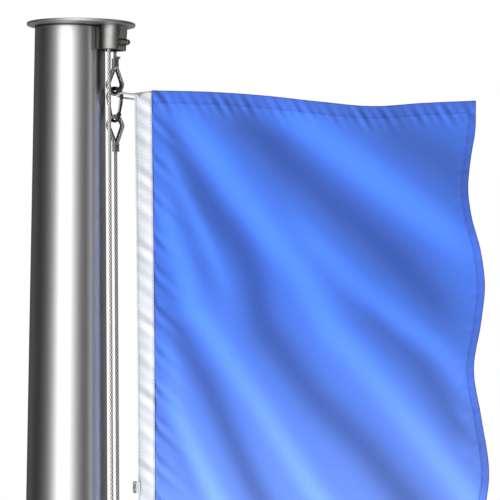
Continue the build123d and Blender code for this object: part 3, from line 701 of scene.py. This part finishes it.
def tail_piece(place, y, turned):
    """The cut end over the ferrule, a little flared where the plait has opened."""
    x = 2 * ROPE_R + TAIL_GAP - FERRULE_SHIFT
    even = np.linspace(0, TAIL_LENGTH, 7)
    line = np.stack([np.full(7, x), even, np.zeros(7)], axis=1)
    route = hung(line, y, turned, eye_shift, EYE_TURN)
    points, uv = plait(route, even, hung_way((0, 0, 1), turned, EYE_TURN), ROPE_R, flare=0.25)
    rope_piece(f"{place}_cut_end", [f"{place}_rope_tail"], [(points, uv, False)])


for place, drop, turned in ASSEMBLIES:
    ferrule_y = FERRULE_TOP - drop
    foot_y = ferrule_y - ASSEMBLY_LENGTH
    eye_piece(place, "a", ferrule_y - FERRULE_LENGTH, turned, 1)
    eye_piece(place, "b", foot_y + FERRULE_LENGTH, turned, -1)
    tail_piece(place, ferrule_y, turned)
    flag_loop_piece(place, drop, turned)

# Thimbles: a black nylon gutter that lines each upper eye, with cheeks that grow at its round
# foot until they hide the rope there; the lower eyes keep their plain bands.
THIMBLE_HALF_WALL = 0.00045
THIMBLE_GAP = 0.0003
THIMBLE_OFF = ROPE_R + THIMBLE_GAP + THIMBLE_HALF_WALL
THIMBLE_BEGINS = 0.004              # under the ferrule
CHEEK_WALL = 0.0005
CHEEK_HALF = (0.0014, 0.0029)       # half width of the gutter at its point and at its foot
CHEEK_DEEP = (0.00075, 0.0034)      # how far the cheeks reach outward, likewise


def fade(value, low, high):
    """0 under low, 1 over high, and an even S between."""
    t = np.clip((value - low) / (high - low), 0, 1)
    return t * t * (3 - 2 * t)


def thimble_piece(place, y, turned):
    """A gutter swept along the eye's line set in by the rope's radius: its section is a flat web
    with a thin cheek on either side; the cheeks widen, then deepen, towards the foot."""
    forward = np.gradient(eye_line, axis=0)
    forward /= np.linalg.norm(forward, axis=1)[:, None]
    inward = np.stack([-forward[:, 1], forward[:, 0], forward[:, 2]], axis=1)
    line = eye_line + inward * THIMBLE_OFF
    middle = EYE_LEAN * -line[:, 1] / EYE_LENGTH
    left = np.arange(len(line)) < len(line) / 2
    open_side = np.where(left, line[:, 0] < middle, line[:, 0] > middle)
    keep = open_side & (line[:, 1] < -THIMBLE_BEGINS)
    line, inward = line[keep], inward[keep]
    share = np.abs(np.linspace(-1, 1, len(line)))
    half = CHEEK_HALF[0] + (CHEEK_HALF[1] - CHEEK_HALF[0]) * fade(share, 0.62, 0.44)
    deep = CHEEK_DEEP[0] + (CHEEK_DEEP[1] - CHEEK_DEEP[0]) * fade(share, 0.46, 0.12)
    web = np.full(len(line), THIMBLE_HALF_WALL)
    inner = half - CHEEK_WALL
    corner = lambda out, across: np.stack([out, across], axis=1)
    section = np.stack([
        corner(-web, -half * 0.8), corner(-web, half * 0.8), corner(-web * 0.4, half),
        corner(deep, half), corner(deep, inner), corner(web, inner), corner(web, -inner),
        corner(deep, -inner), corner(deep, -half), corner(-web * 0.4, -half)], axis=1)
    points = (line[:, None, :] - inward[:, None, :] * section[..., :1]
              + np.array([0, 0, 1.0]) * section[..., 1:])
    shape = hung(points.reshape(-1, 3), y, turned, eye_shift, EYE_TURN).reshape(points.shape)
    uv = np.zeros(shape.shape[:1] + (shape.shape[1] + 1, 2))
    mesh = mesh_of(f"{place}_gutter", [grid_part(shape, uv, wrap=True, caps=True)], smooth=False)
    add_piece(f"{place}_gutter", mesh, nylon_finish.material,
              nodes=[f"{place}_thimble_a"])


for place, drop, turned in ASSEMBLIES:
    thimble_piece(place, FERRULE_TOP - drop - FERRULE_LENGTH, turned)
nylon_finish.put_on("upper_thimble_a", "upper_thimble_b", "lower_thimble_a", "lower_thimble_b")

ferrule_finish = grained("crimped_sleeve", 260, 3.0, (0.20, 0.195, 0.185), (0.34, 0.33, 0.31),
                         rough=(0.26, 0.42), relief=(0.0004, 0.6))
ferrule_finish.put_on("upper_ferrule_a", "upper_ferrule_b", "lower_ferrule_a", "lower_ferrule_b")

hook_finish = Finish("black_hook_enamel")
chip = hook_finish.noise(180, 4.0)
hook_finish.set(
    Base_Color=hook_finish.mix(hook_finish.spread(chip, 0.62, 0.75), (0.008, 0.008, 0.008, 1),
                               (0.05, 0.045, 0.042, 1)),
    Roughness=hook_finish.spread(chip, 0.3, 0.7, 0.16, 0.28),
    Normal=hook_finish.bump(chip, 0.0001, 0.3),
)
hook_finish.put_on("upper_hook", "lower_hook", "upper_hook_gate", "lower_hook_gate")

# A bare steel rail runs up both flat sides of each gate.
HOOK_FOOT_R = 0.0072
HINGE = (0.006162, -0.035819)       # across the hook and up from its top
RAIL_FROM, RAIL_TO = 0.0036, 0.0172
RAIL_HALF = 0.0010
RAIL_PROUD, RAIL_SUNK = 0.00015, 0.0003
GATE_HALF = (0.0020, 0.0027)        # the gate's half width across the hook at the rail's two ends
gate_lean = math.asin((HOOK_TOP_R - HOOK_FOOT_R) / (HOOK_LENGTH - HOOK_TOP_R - HOOK_FOOT_R))


def rail_piece(place, drop, turned):
    """Two thin bars: each an eight-cornered block that follows the gate's taper."""
    corners, faces = [], []
    for side in (1, -1):
        base = len(corners)
        for y, half in ((RAIL_FROM, GATE_HALF[0]), (RAIL_TO, GATE_HALF[1])):
            for z in (half - RAIL_SUNK, half + RAIL_PROUD):
                corners += [(-RAIL_HALF, y, side * z), (RAIL_HALF, y, side * z)]
        block = [(0, 1, 3, 2), (4, 6, 7, 5), (0, 4, 5, 1), (2, 3, 7, 6), (0, 2, 6, 4), (1, 5, 7, 3)]
        faces += [[base + i for i in (f if side < 0 else f[::-1])] for f in block]
    x, y, z = np.array(corners).T
    local = np.stack([x * math.cos(gate_lean) + y * math.sin(gate_lean) + HINGE[0],
                      y * math.cos(gate_lean) - x * math.sin(gate_lean) + HINGE[1], z], axis=1)
    mesh = bpy.data.meshes.new(f"{place}_gate_rail")
    points = hung(local, HOOK_TOP - drop, turned, hook_shift, HOOK_TURN)
    mesh.from_pydata(points.tolist(), [], faces)
    add_piece(f"{place}_gate_rail", mesh, steel_finish.material, f"{place}_gate")


for place, drop, turned in ASSEMBLIES:
    rail_piece(place, drop, turned)


# ---------------------------------------------------------------- flag: blue field
# Light woven nylon, 425 mm by 1 m beside the heading, hemmed 16 mm deep and 10 mm at the fly. It
# hangs in long folds that fan out from the upper hoist corner towards the lower fly.
HEADING_WIDTH = 0.022
FIELD_START = FLAG_OUT + HEADING_WIDTH
FIELD_FLAT_WIDTH = 0.425
HEM = 0.016
FLY_HEM = 0.010
CLOTH_THICK = 0.0006
FIELD_RISE = 0.002      # the field's top over the heading's
STEP_ACROSS, STEP_DOWN = 0.0028, 0.0034
# the fly edge's bends: down from the top of the hoist, and out from the straight hoist (mm)
FLY_EDGE = [(0, 412), (40, 411), (75, 405), (118, 401), (150, 405), (195, 417), (238, 422), (285, 417),
            (347, 407), (410, 416), (485, 425), (540, 418), (600, 411), (675, 416), (750, 424),
            (830, 418), (920, 411), (1000, 418)]
# the top edge's bends: across from the heading, and down from the heading's corner (mm)
TOP_EDGE = [(0, -1), (75, 1.5), (150, 7), (215, 15), (280, 21), (345, 17), (410, 14.5)]
# folds: which way each slope tips the cloth (above 0 towards the hoist's foot), its half
# width, and its bends, across from the heading and down from the top (mm)
FOLDS = [
    (1.00, 16, [(25, 20), (45, 45), (95, 110), (155, 190), (190, 235), (225, 305), (275, 360), (355, 460),
                (430, 560)]),
    (-0.62, 22, [(10, 25), (40, 85), (75, 150), (110, 195), (125, 230), (140, 300), (205, 390), (265, 450),
                 (430, 655)]),
    (-0.62, 28, [(85, 20), (145, 60), (170, 90), (210, 125), (300, 205), (365, 275), (390, 310)]),
    (1.00, 18, [(155, 30), (195, 45), (280, 110), (325, 145), (415, 215)]),
    (-0.46, 34, [(275, 35), (345, 75), (375, 95), (400, 130), (405, 155)]),
    (0.55, 7, [(5, 50), (40, 130), (65, 180), (95, 250)]),
    (-0.34, 13, [(10, 115), (35, 170), (45, 205), (80, 260)]),
    (1.00, 13, [(10, 130), (15, 165), (40, 225), (50, 275), (70, 300), (135, 400), (200, 505), (330, 680),
                (410, 770)]),
    (-0.62, 17, [(10, 275), (25, 295), (70, 375), (125, 500), (180, 595), (250, 695), (400, 885)]),
    (0.60, 7, [(5, 300), (20, 335), (40, 385)]),
    (0.95, 11, [(10, 365), (60, 475), (120, 600), (180, 710), (330, 930)]),
    (-0.28, 9, [(15, 440), (40, 475), (60, 525)]),
    (0.55, 13, [(180, 165), (205, 195), (250, 240), (315, 295), (350, 320), (375, 345), (400, 385)]),
    (-0.46, 21, [(250, 265), (340, 350), (375, 405), (410, 470)]),
    (0.45, 6, [(380, 400), (405, 430)]),
    (0.45, 7, [(380, 445), (410, 470)]),
    (-0.56, 23, [(10, 570), (60, 650), (190, 860), (260, 970)]),
    (0.90, 15, [(10, 650), (50, 730), (170, 940)]),
    (-0.43, 18, [(10, 770), (40, 840), (90, 940)]),
    (0.70, 11, [(5, 860), (35, 930), (60, 990)]),
]
FOLD_SLOPE = 0.56
FOLD_SPREAD = 0.16      # how far a fold's relief carries over before the cloth comes back
ACROSS_FOLDS = (0.77, -0.64)             # across and down: the way that the slopes tip
FOLD_EASE = 0.06                         # evens out the relief along the folds
FADE_IN, FADE_OUT, FADE_REST = 0.05, 0.07, 0.25   # a fold's ends, and what is left there
RELIEF_STEP = 0.002
RELIEF_MARGIN = 0.01
RELIEF_PAD = 128                         # steps of flat cloth all round, for the transform


def smooth_line(table, places):
    """A smooth curve through a table's points, by Hermite pieces with mean slopes."""
    x, y = np.array(table, float).T
    slope = np.gradient(y, x)
    i = np.clip(np.searchsorted(x, places) - 1, 0, len(x) - 2)
    h = x[i + 1] - x[i]
    t = np.clip((places - x[i]) / h, 0, 1)
    return ((1 + 2 * t) * (1 - t) ** 2 * y[i] + t * (1 - t) ** 2 * h * slope[i]
            + t * t * (3 - 2 * t) * y[i + 1] + t * t * (t - 1) * h * slope[i + 1])


def fold_relief(across, down):
    """Height of the cloth on an even grid, in metres. Each fold adds a slope that falls off like a
    bell with the distance from its line and fades at its ends; the slopes are summed, and
    the relief is their integral across the folds, with its slow part held back."""
    ax, dy = np.meshgrid(across, down)
    total = np.zeros_like(ax)
    for weight, half_width, line in FOLDS:
        line = np.array(line, float) / 1000
        w = half_width / 1000
        best = np.full(ax.shape, 1e9)
        place = np.zeros_like(ax)
        lengths = np.concatenate([[0], np.cumsum(np.linalg.norm(np.diff(line, axis=0), axis=1))])
        for (x0, y0), (x1, y1), start in zip(line[:-1], line[1:], lengths):
            run = np.hypot(x1 - x0, y1 - y0)
            t = np.clip(((ax - x0) * (x1 - x0) + (dy - y0) * (y1 - y0)) / run ** 2, 0, 1)
            d = np.hypot(ax - x0 - t * (x1 - x0), dy - y0 - t * (y1 - y0))
            closer = d < best
            best = np.where(closer, d, best)
            place = np.where(closer, start + t * run, place)
        ends = np.minimum(place / FADE_IN, (lengths[-1] - place) / FADE_OUT) + FADE_REST
        total += weight * np.clip(ends, 0, 1) * np.exp(-(best / w) ** 2)
    step_x, step_y = across[1] - across[0], down[1] - down[0]
    padded = np.pad(total, RELIEF_PAD)
    kx = 2 * np.pi * np.fft.fftfreq(padded.shape[1], step_x)[None, :]
    ky = 2 * np.pi * np.fft.fftfreq(padded.shape[0], step_y)[:, None]
    k = kx * ACROSS_FOLDS[0] + ky * ACROSS_FOLDS[1]
    hold = 1 / FOLD_SPREAD
    spectrum = np.fft.fft2(padded) * (-1j * k)
    spectrum /= k ** 2 + hold ** 2 + FOLD_EASE * (kx ** 2 + ky ** 2)
    height = np.real(np.fft.ifft2(spectrum))[RELIEF_PAD:-RELIEF_PAD, RELIEF_PAD:-RELIEF_PAD]
    return height * FOLD_SLOPE


def bilinear(grid, rows, columns):
    """Values of a grid at fractional rows and columns."""
    r = np.clip(rows, 0, grid.shape[0] - 1.001)
    c = np.clip(columns, 0, grid.shape[1] - 1.001)
    i, j = r.astype(int), c.astype(int)
    fr, fc = r - i, c - j
    return ((1 - fr) * (1 - fc) * grid[i, j] + (1 - fr) * fc * grid[i, j + 1]
            + fr * (1 - fc) * grid[i + 1, j] + fr * fc * grid[i + 1, j + 1])


relief = fold_relief(np.arange(-RELIEF_MARGIN, 0.45, RELIEF_STEP),
                     np.arange(-RELIEF_MARGIN, 1.03, RELIEF_STEP))


def sway(flat_down):
    """How far the pull of the folds has drawn the hoist off its straight line."""
    return 0.0007 + 0.0018 * np.sin(2 * np.pi * flat_down / 1.5)


def beat(place, first, second):
    """Two waves of the given lengths, the second weaker, that drift in and out of step."""
    return np.sin(2 * np.pi * place / first) + 0.7 * np.sin(2 * np.pi * place / second + 1.3)


def near(distance, width):
    """1 at no distance, and down from there like a bell."""
    return np.exp(-(distance / width) ** 2)


def field_points(flat_across, flat_down):
    """The field at flat measures across from the heading and down from the top: it is drawn in
    to the fly edge's and the top edge's curves, stands out by the folds' relief, and ripples
    finely beside the hems and the heading's seam, where the stitching has gathered it."""
    u = flat_across / FIELD_FLAT_WIDTH
    hoist = sway(flat_down)
    across = hoist + u * (smooth_line(FLY_EDGE, flat_down * 1000) / 1000 - hoist)
    top = smooth_line(TOP_EDGE, across * 1000) / 1000
    down = top * (1 - 0.55 * flat_down) + flat_down * (1 - 0.012 * u)
    z = bilinear(relief, (down + RELIEF_MARGIN) / RELIEF_STEP, (across + RELIEF_MARGIN) / RELIEF_STEP)
    z = z * (1 - np.exp(-flat_across / 0.018))
    from_fly = FIELD_FLAT_WIDTH - flat_across
    from_foot = FLAG_HEIGHT - flat_down
    beside_seam = np.exp(-flat_across / 0.014) * (1 - np.exp(-flat_across / 0.003))
    fuller = 0.75 + 0.25 * np.sin(2 * np.pi * flat_across / 0.093 + 1.2)
    z = (z + 0.00062 * fuller * near(flat_down - HEM * 0.9, 0.014)
         * beat(flat_across - 0.60 * flat_down, 0.0138, 0.0221)
         + 0.00055 * near(from_fly - FLY_HEM * 0.9, 0.010)
         * beat(flat_down - 0.55 * from_fly, 0.0146, 0.0233)
         + 0.00060 * near(from_foot - HEM * 0.8, 0.012) * beat(flat_across, 0.0142, 0.0213)
         + 0.0011 * beside_seam * beat(flat_down - 0.9 * flat_across, 0.0270, 0.0173))
    return np.stack([FIELD_START + across, FLAG_TOP + FIELD_RISE - down, z], axis=-1)


# places of the mesh's lines from an edge: close together over a hem, and looser at the seam
HEM_LINES = np.array([0, 1.0, 3, 5.5, 8, 10.5, 13, 14.8, 16.2, 18, 20.5, 23.5]) / 1000
SEAM_LINES = np.array([0, 1.5, 4, 7, 10.5, 14.5, 19]) / 1000


def grid_lines(length, start, step):
    """Places from 0 to length: start's own, even ones about a step apart, and a hem's."""
    end = length - HEM_LINES[::-1]
    middle = np.linspace(start[-1], end[0], int((end[0] - start[-1]) / step) + 2)[1:-1]
    return np.concatenate([start, middle, end])


def cloth_piece(name, node, shape, flat, thick, material):
    """A cloth: its shape's surface over a grid of flat measures, thickened both ways."""
    mesh = mesh_of(name, [grid_part(hung(shape(*flat), 0.0), np.stack(flat, axis=2))])
    piece = add_piece(name, mesh, material, nodes=[node])
    wall = piece.modifiers.new("thickness", "SOLIDIFY")
    wall.thickness, wall.offset = thick, 0.0
    return piece


field_finish = Finish("blue_nylon")
cloth_x, cloth_y = field_finish.uv()


def from_edge(fly_inset):
    """Distance from the top, the foot or the fly edge, the fly's measured from further out."""
    from_side = (FIELD_FLAT_WIDTH + fly_inset) - cloth_x
    return from_side.math("MINIMUM", cloth_y).math("MINIMUM", FLAG_HEIGHT - cloth_y)


weave = cloth_x.wave(0.0007) * cloth_y.wave(0.0007)
slub = field_finish.noise(140, 4.0)
cloud = field_finish.noise(6, 2.0)
selvage = field_finish.spread(from_edge(0).math("MINIMUM", cloth_x + 0.0003), 0.0004, 0.0016, 1.0, 0.0)
hem_side = from_edge(HEM - FLY_HEM)
hem_dot = field_finish.spread((cloth_x + cloth_y).wave(0.0045), -0.5, 0.5, 0.35, 1.0)
hem_line = field_finish.spread(abs(hem_side - HEM), 0.0004, 0.0012, 1.0, 0.0) * hem_dot
hem_band = field_finish.spread(hem_side, HEM - 0.0004, HEM + 0.0004, 1.0, 0.0)
blue = field_finish.mix(cloud, (0.053, 0.176, 0.79, 1), (0.061, 0.192, 0.84, 1))
# painted light: the blue turns lighter towards the foot of the flag, as if lit more strongly there
blue = field_finish.mix(field_finish.spread(cloth_y, 0.20, 0.80), blue, (0.205, 0.350, 0.93, 1))
blue = field_finish.mix(hem_band * 0.45, blue, (0.050, 0.130, 0.62, 1))
blue = field_finish.mix(hem_line * 0.6, blue, (0.045, 0.085, 0.46, 1))
blue = field_finish.mix(selvage * 0.85, blue, (0.070, 0.070, 0.56, 1))
field_finish.set(
    Base_Color=blue,
    Roughness=field_finish.spread(slub, 0.3, 0.7, 0.50, 0.60),
    Sheen_Weight=0.15,
    Sheen_Roughness=0.4,
    Specular_IOR_Level=0.35,
    Normal=field_finish.bump(weave * 0.02 + slub * 0.3 + hem_band * 0.5 - hem_line * 0.5, 0.0004, 0.5),
)
flat_field = np.meshgrid(grid_lines(FIELD_FLAT_WIDTH, SEAM_LINES, STEP_ACROSS),
                         grid_lines(FLAG_HEIGHT, HEM_LINES, STEP_DOWN))
field = cloth_piece("field_cloth", "flag_field", field_points, flat_field, CLOTH_THICK,
                    field_finish.material)


# ---------------------------------------------------------------- flag: heading
# A doubled strip of white canvas sewn over the hoist edge of the field by two rows of
# stitching, a little crumpled. The corner loops pass through it near its two ends.
HEADING_THICK = 0.0014
SEAM_A, SEAM_B = 0.0026, 0.0200      # the two rows of stitches, across the heading
HEADING_LINES = np.array([0, 0.8, 1.8, SEAM_A * 1000, 3.4, 5.5, 8.5, 11, 13.5, 16.5, 18.5, 19.3,
                          SEAM_B * 1000, 20.7, HEADING_WIDTH * 1000]) / 1000


def heading_points(flat_across, flat_down):
    """The strip at flat measures: soft dents that slant down it, drawn in along both seams."""
    slanted = flat_down - 0.7 * flat_across
    fuller = 0.7 + 0.3 * np.sin(2 * np.pi * flat_down / 0.091)
    ripple = (0.00060 * fuller * np.sin(2 * np.pi * slanted / 0.0187)
              + 0.00045 * np.sin(2 * np.pi * slanted / 0.0313 + 0.8)
              + 0.0007 * np.sin(2 * np.pi * flat_down / 0.137 + 2.0))
    middle = np.sin(np.pi * np.clip(flat_across / HEADING_WIDTH, 0, 1))
    z = ripple * (0.35 + 0.65 * middle)
    slant = (0.0026 * flat_across / HEADING_WIDTH - 0.0004) * (1 - flat_down)
    across = FLAG_OUT + flat_across + sway(flat_down)
    return np.stack([across, FLAG_TOP - flat_down + slant, z], axis=-1)


heading_finish = Finish("white_canvas")
strip_x, strip_y = heading_finish.uv()
canvas = strip_x.wave(0.0011) * strip_y.wave(0.0011)
soil = heading_finish.noise(45, 4.0)
seam_a = heading_finish.spread(abs(strip_x - SEAM_A), 0.0002, 0.0007, 1.0, 0.0)
seam_b = heading_finish.spread(abs(strip_x - SEAM_B), 0.0002, 0.0007, 1.0, 0.0)
seam = seam_a.math("MAXIMUM", seam_b)
dash = heading_finish.spread(strip_y.wave(0.0045), -0.2, 0.4)
white = heading_finish.mix(soil, (0.86, 0.88, 0.955, 1), (0.90, 0.92, 0.98, 1))
white = heading_finish.mix(heading_finish.spread(strip_y, 0.0, 0.55), white, (0.78, 0.81, 0.90, 1))
white = heading_finish.mix(seam * dash * 0.85, white, (0.46, 0.50, 0.68, 1))
heading_finish.set(
    Base_Color=white,
    Roughness=0.85,
    Normal=heading_finish.bump(canvas * 0.15 - seam * 0.6 + soil * 0.2, 0.0004, 0.5),
)
flat_heading = np.meshgrid(HEADING_LINES, np.linspace(0, FLAG_HEIGHT, 331))
heading = cloth_piece("heading_strip", "flag_heading", heading_points, flat_heading, HEADING_THICK,
                      heading_finish.material)


# ---------------------------------------------------------------- flag: stitching
# Lock stitches in matching thread, along the three hems of the field and both seams of the
# heading. Each is a short spindle that lies half sunk in the cloth, on either face.
STITCH_PITCH = 0.0028
STITCH_LENGTH = 0.0021
STITCH_R = 0.00022
STITCH_SPINDLE = [(-0.5, 0.25), (-0.32, 0.85), (0, 1.0), (0.32, 0.85), (0.5, 0.25)]
PROBE = 0.0004           # how far off a stitch the cloth's slope is felt


def stitch_rows(name, flats, shape, thick, material):
    """Rows of small spindles, six-sided and narrower at both ends, put at even places along flat
    lines of a cloth, turned to the line's direction and lifted off both faces of the cloth."""
    sides = 6
    turns = np.linspace(0, 2 * np.pi, sides, endpoint=False)
    spindle = np.array([[a * STITCH_LENGTH, r * STITCH_R * math.cos(t), r * STITCH_R * math.sin(t)]
                        for a, r in STITCH_SPINDLE for t in turns])
    quads = [[i * sides + j, i * sides + (j + 1) % sides, (i + 1) * sides + (j + 1) % sides,
              (i + 1) * sides + j] for i in range(len(STITCH_SPINDLE) - 1) for j in range(sides)]
    last = len(spindle) - sides
    ends = [list(range(sides))[::-1], [last + j for j in range(sides)]]
    places, forwards, normals = [], [], []
    for (x0, y0), (x1, y1) in flats:
        length = math.hypot(x1 - x0, y1 - y0)
        t = (np.arange(int(length / STITCH_PITCH)) + 0.5) * STITCH_PITCH / length
        fx, fy = x0 + (x1 - x0) * t, y0 + (y1 - y0) * t
        dx, dy = (x1 - x0) / length * PROBE, (y1 - y0) / length * PROBE
        here = shape(fx, fy)
        ahead = shape(fx + dx, fy + dy) - here
        beside = shape(fx - dy, fy + dx) - here
        ahead /= np.linalg.norm(ahead, axis=1)[:, None]
        normal = np.cross(ahead, beside)
        normal /= np.linalg.norm(normal, axis=1)[:, None]
        for face in (1, -1):
            places.append(here + face * normal * (thick / 2 + STITCH_R * 0.35))
            forwards.append(ahead)
            normals.append(normal)
    places, forwards, normals = (np.concatenate(a) for a in (places, forwards, normals))
    axes = np.stack([forwards, np.cross(normals, forwards), normals], axis=1)
    points = places[:, None, :] + np.einsum("vk,nkj->nvj", spindle, axes)
    starts = np.arange(len(places))[:, None] * len(spindle)
    faces = (starts[..., None] + np.array(quads)[None]).reshape(-1, 4).tolist()
    for end in ends:
        faces += (starts + np.array(end)[None]).tolist()
    mesh = bpy.data.meshes.new(name)
    mesh.from_pydata(hung(points.reshape(-1, 3), 0.0).tolist(), [], faces)
    mesh.polygons.foreach_set("use_smooth", [True] * len(mesh.polygons))
    return add_piece(name, mesh, material)


def thread(name, light, dark):
    """A twisted thread's material: specks of a darker colour."""
    finish = Finish(name)
    finish.set(Base_Color=finish.mix(finish.noise(1500, 2.0), dark, light), Roughness=0.6)
    return finish.material


ROW_IN = 0.0012          # a hem's stitches, inside the hem's own edge
ROW_END = 0.002          # short of the cloth's corners
row, foot_row = HEM - ROW_IN, FLAG_HEIGHT - HEM + ROW_IN
fly_row = FIELD_FLAT_WIDTH - FLY_HEM + ROW_IN
row_foot = FLAG_HEIGHT - ROW_END
hem_stitches = stitch_rows(
    "hem_stitches",
    [((ROW_END, row), (fly_row, row)), ((fly_row, ROW_END), (fly_row, row_foot)),
     ((ROW_END, foot_row), (fly_row, foot_row))],
    field_points, CLOTH_THICK,
    thread("blue_thread", (0.06, 0.13, 0.62, 1), (0.04, 0.07, 0.42, 1)))
stitch_rows(
    "heading_stitches", [((seam, ROW_END), (seam, row_foot)) for seam in (SEAM_A, SEAM_B)],
    heading_points, HEADING_THICK,
    thread("white_thread", (0.72, 0.74, 0.84, 1), (0.55, 0.58, 0.72, 1)))


# ---------------------------------------------------------------- hoist clip
# A small moulded plastic clip that grips the heading half way down and keeps it by the
# halyard: its grip is pale, and its open end is darker and mottled.
CLIP_LIP = 0.0042
CLIP_BLEND = 0.0003
clip_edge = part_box("hoist_clip")[0].x + CLIP_LIP
clip_finish = Finish("grey_clip")
clip_mould = clip_finish.noise(420, 4.0)
clip_across = clip_finish.parts(clip_finish.place())[0]
clip_face = clip_finish.spread(clip_across, clip_edge - CLIP_BLEND, clip_edge + CLIP_BLEND)
clip_dark = clip_finish.mix(clip_finish.spread(clip_mould, 0.42, 0.58),
                            (0.13, 0.125, 0.12, 1), (0.55, 0.55, 0.56, 1))
clip_finish.set(
    Base_Color=clip_finish.mix(clip_face, clip_dark, (0.78, 0.79, 0.83, 1)),
    Roughness=0.45,
    Normal=clip_finish.bump(clip_mould, 0.0002, 0.5),
)
clip_finish.put_on("hoist_clip")
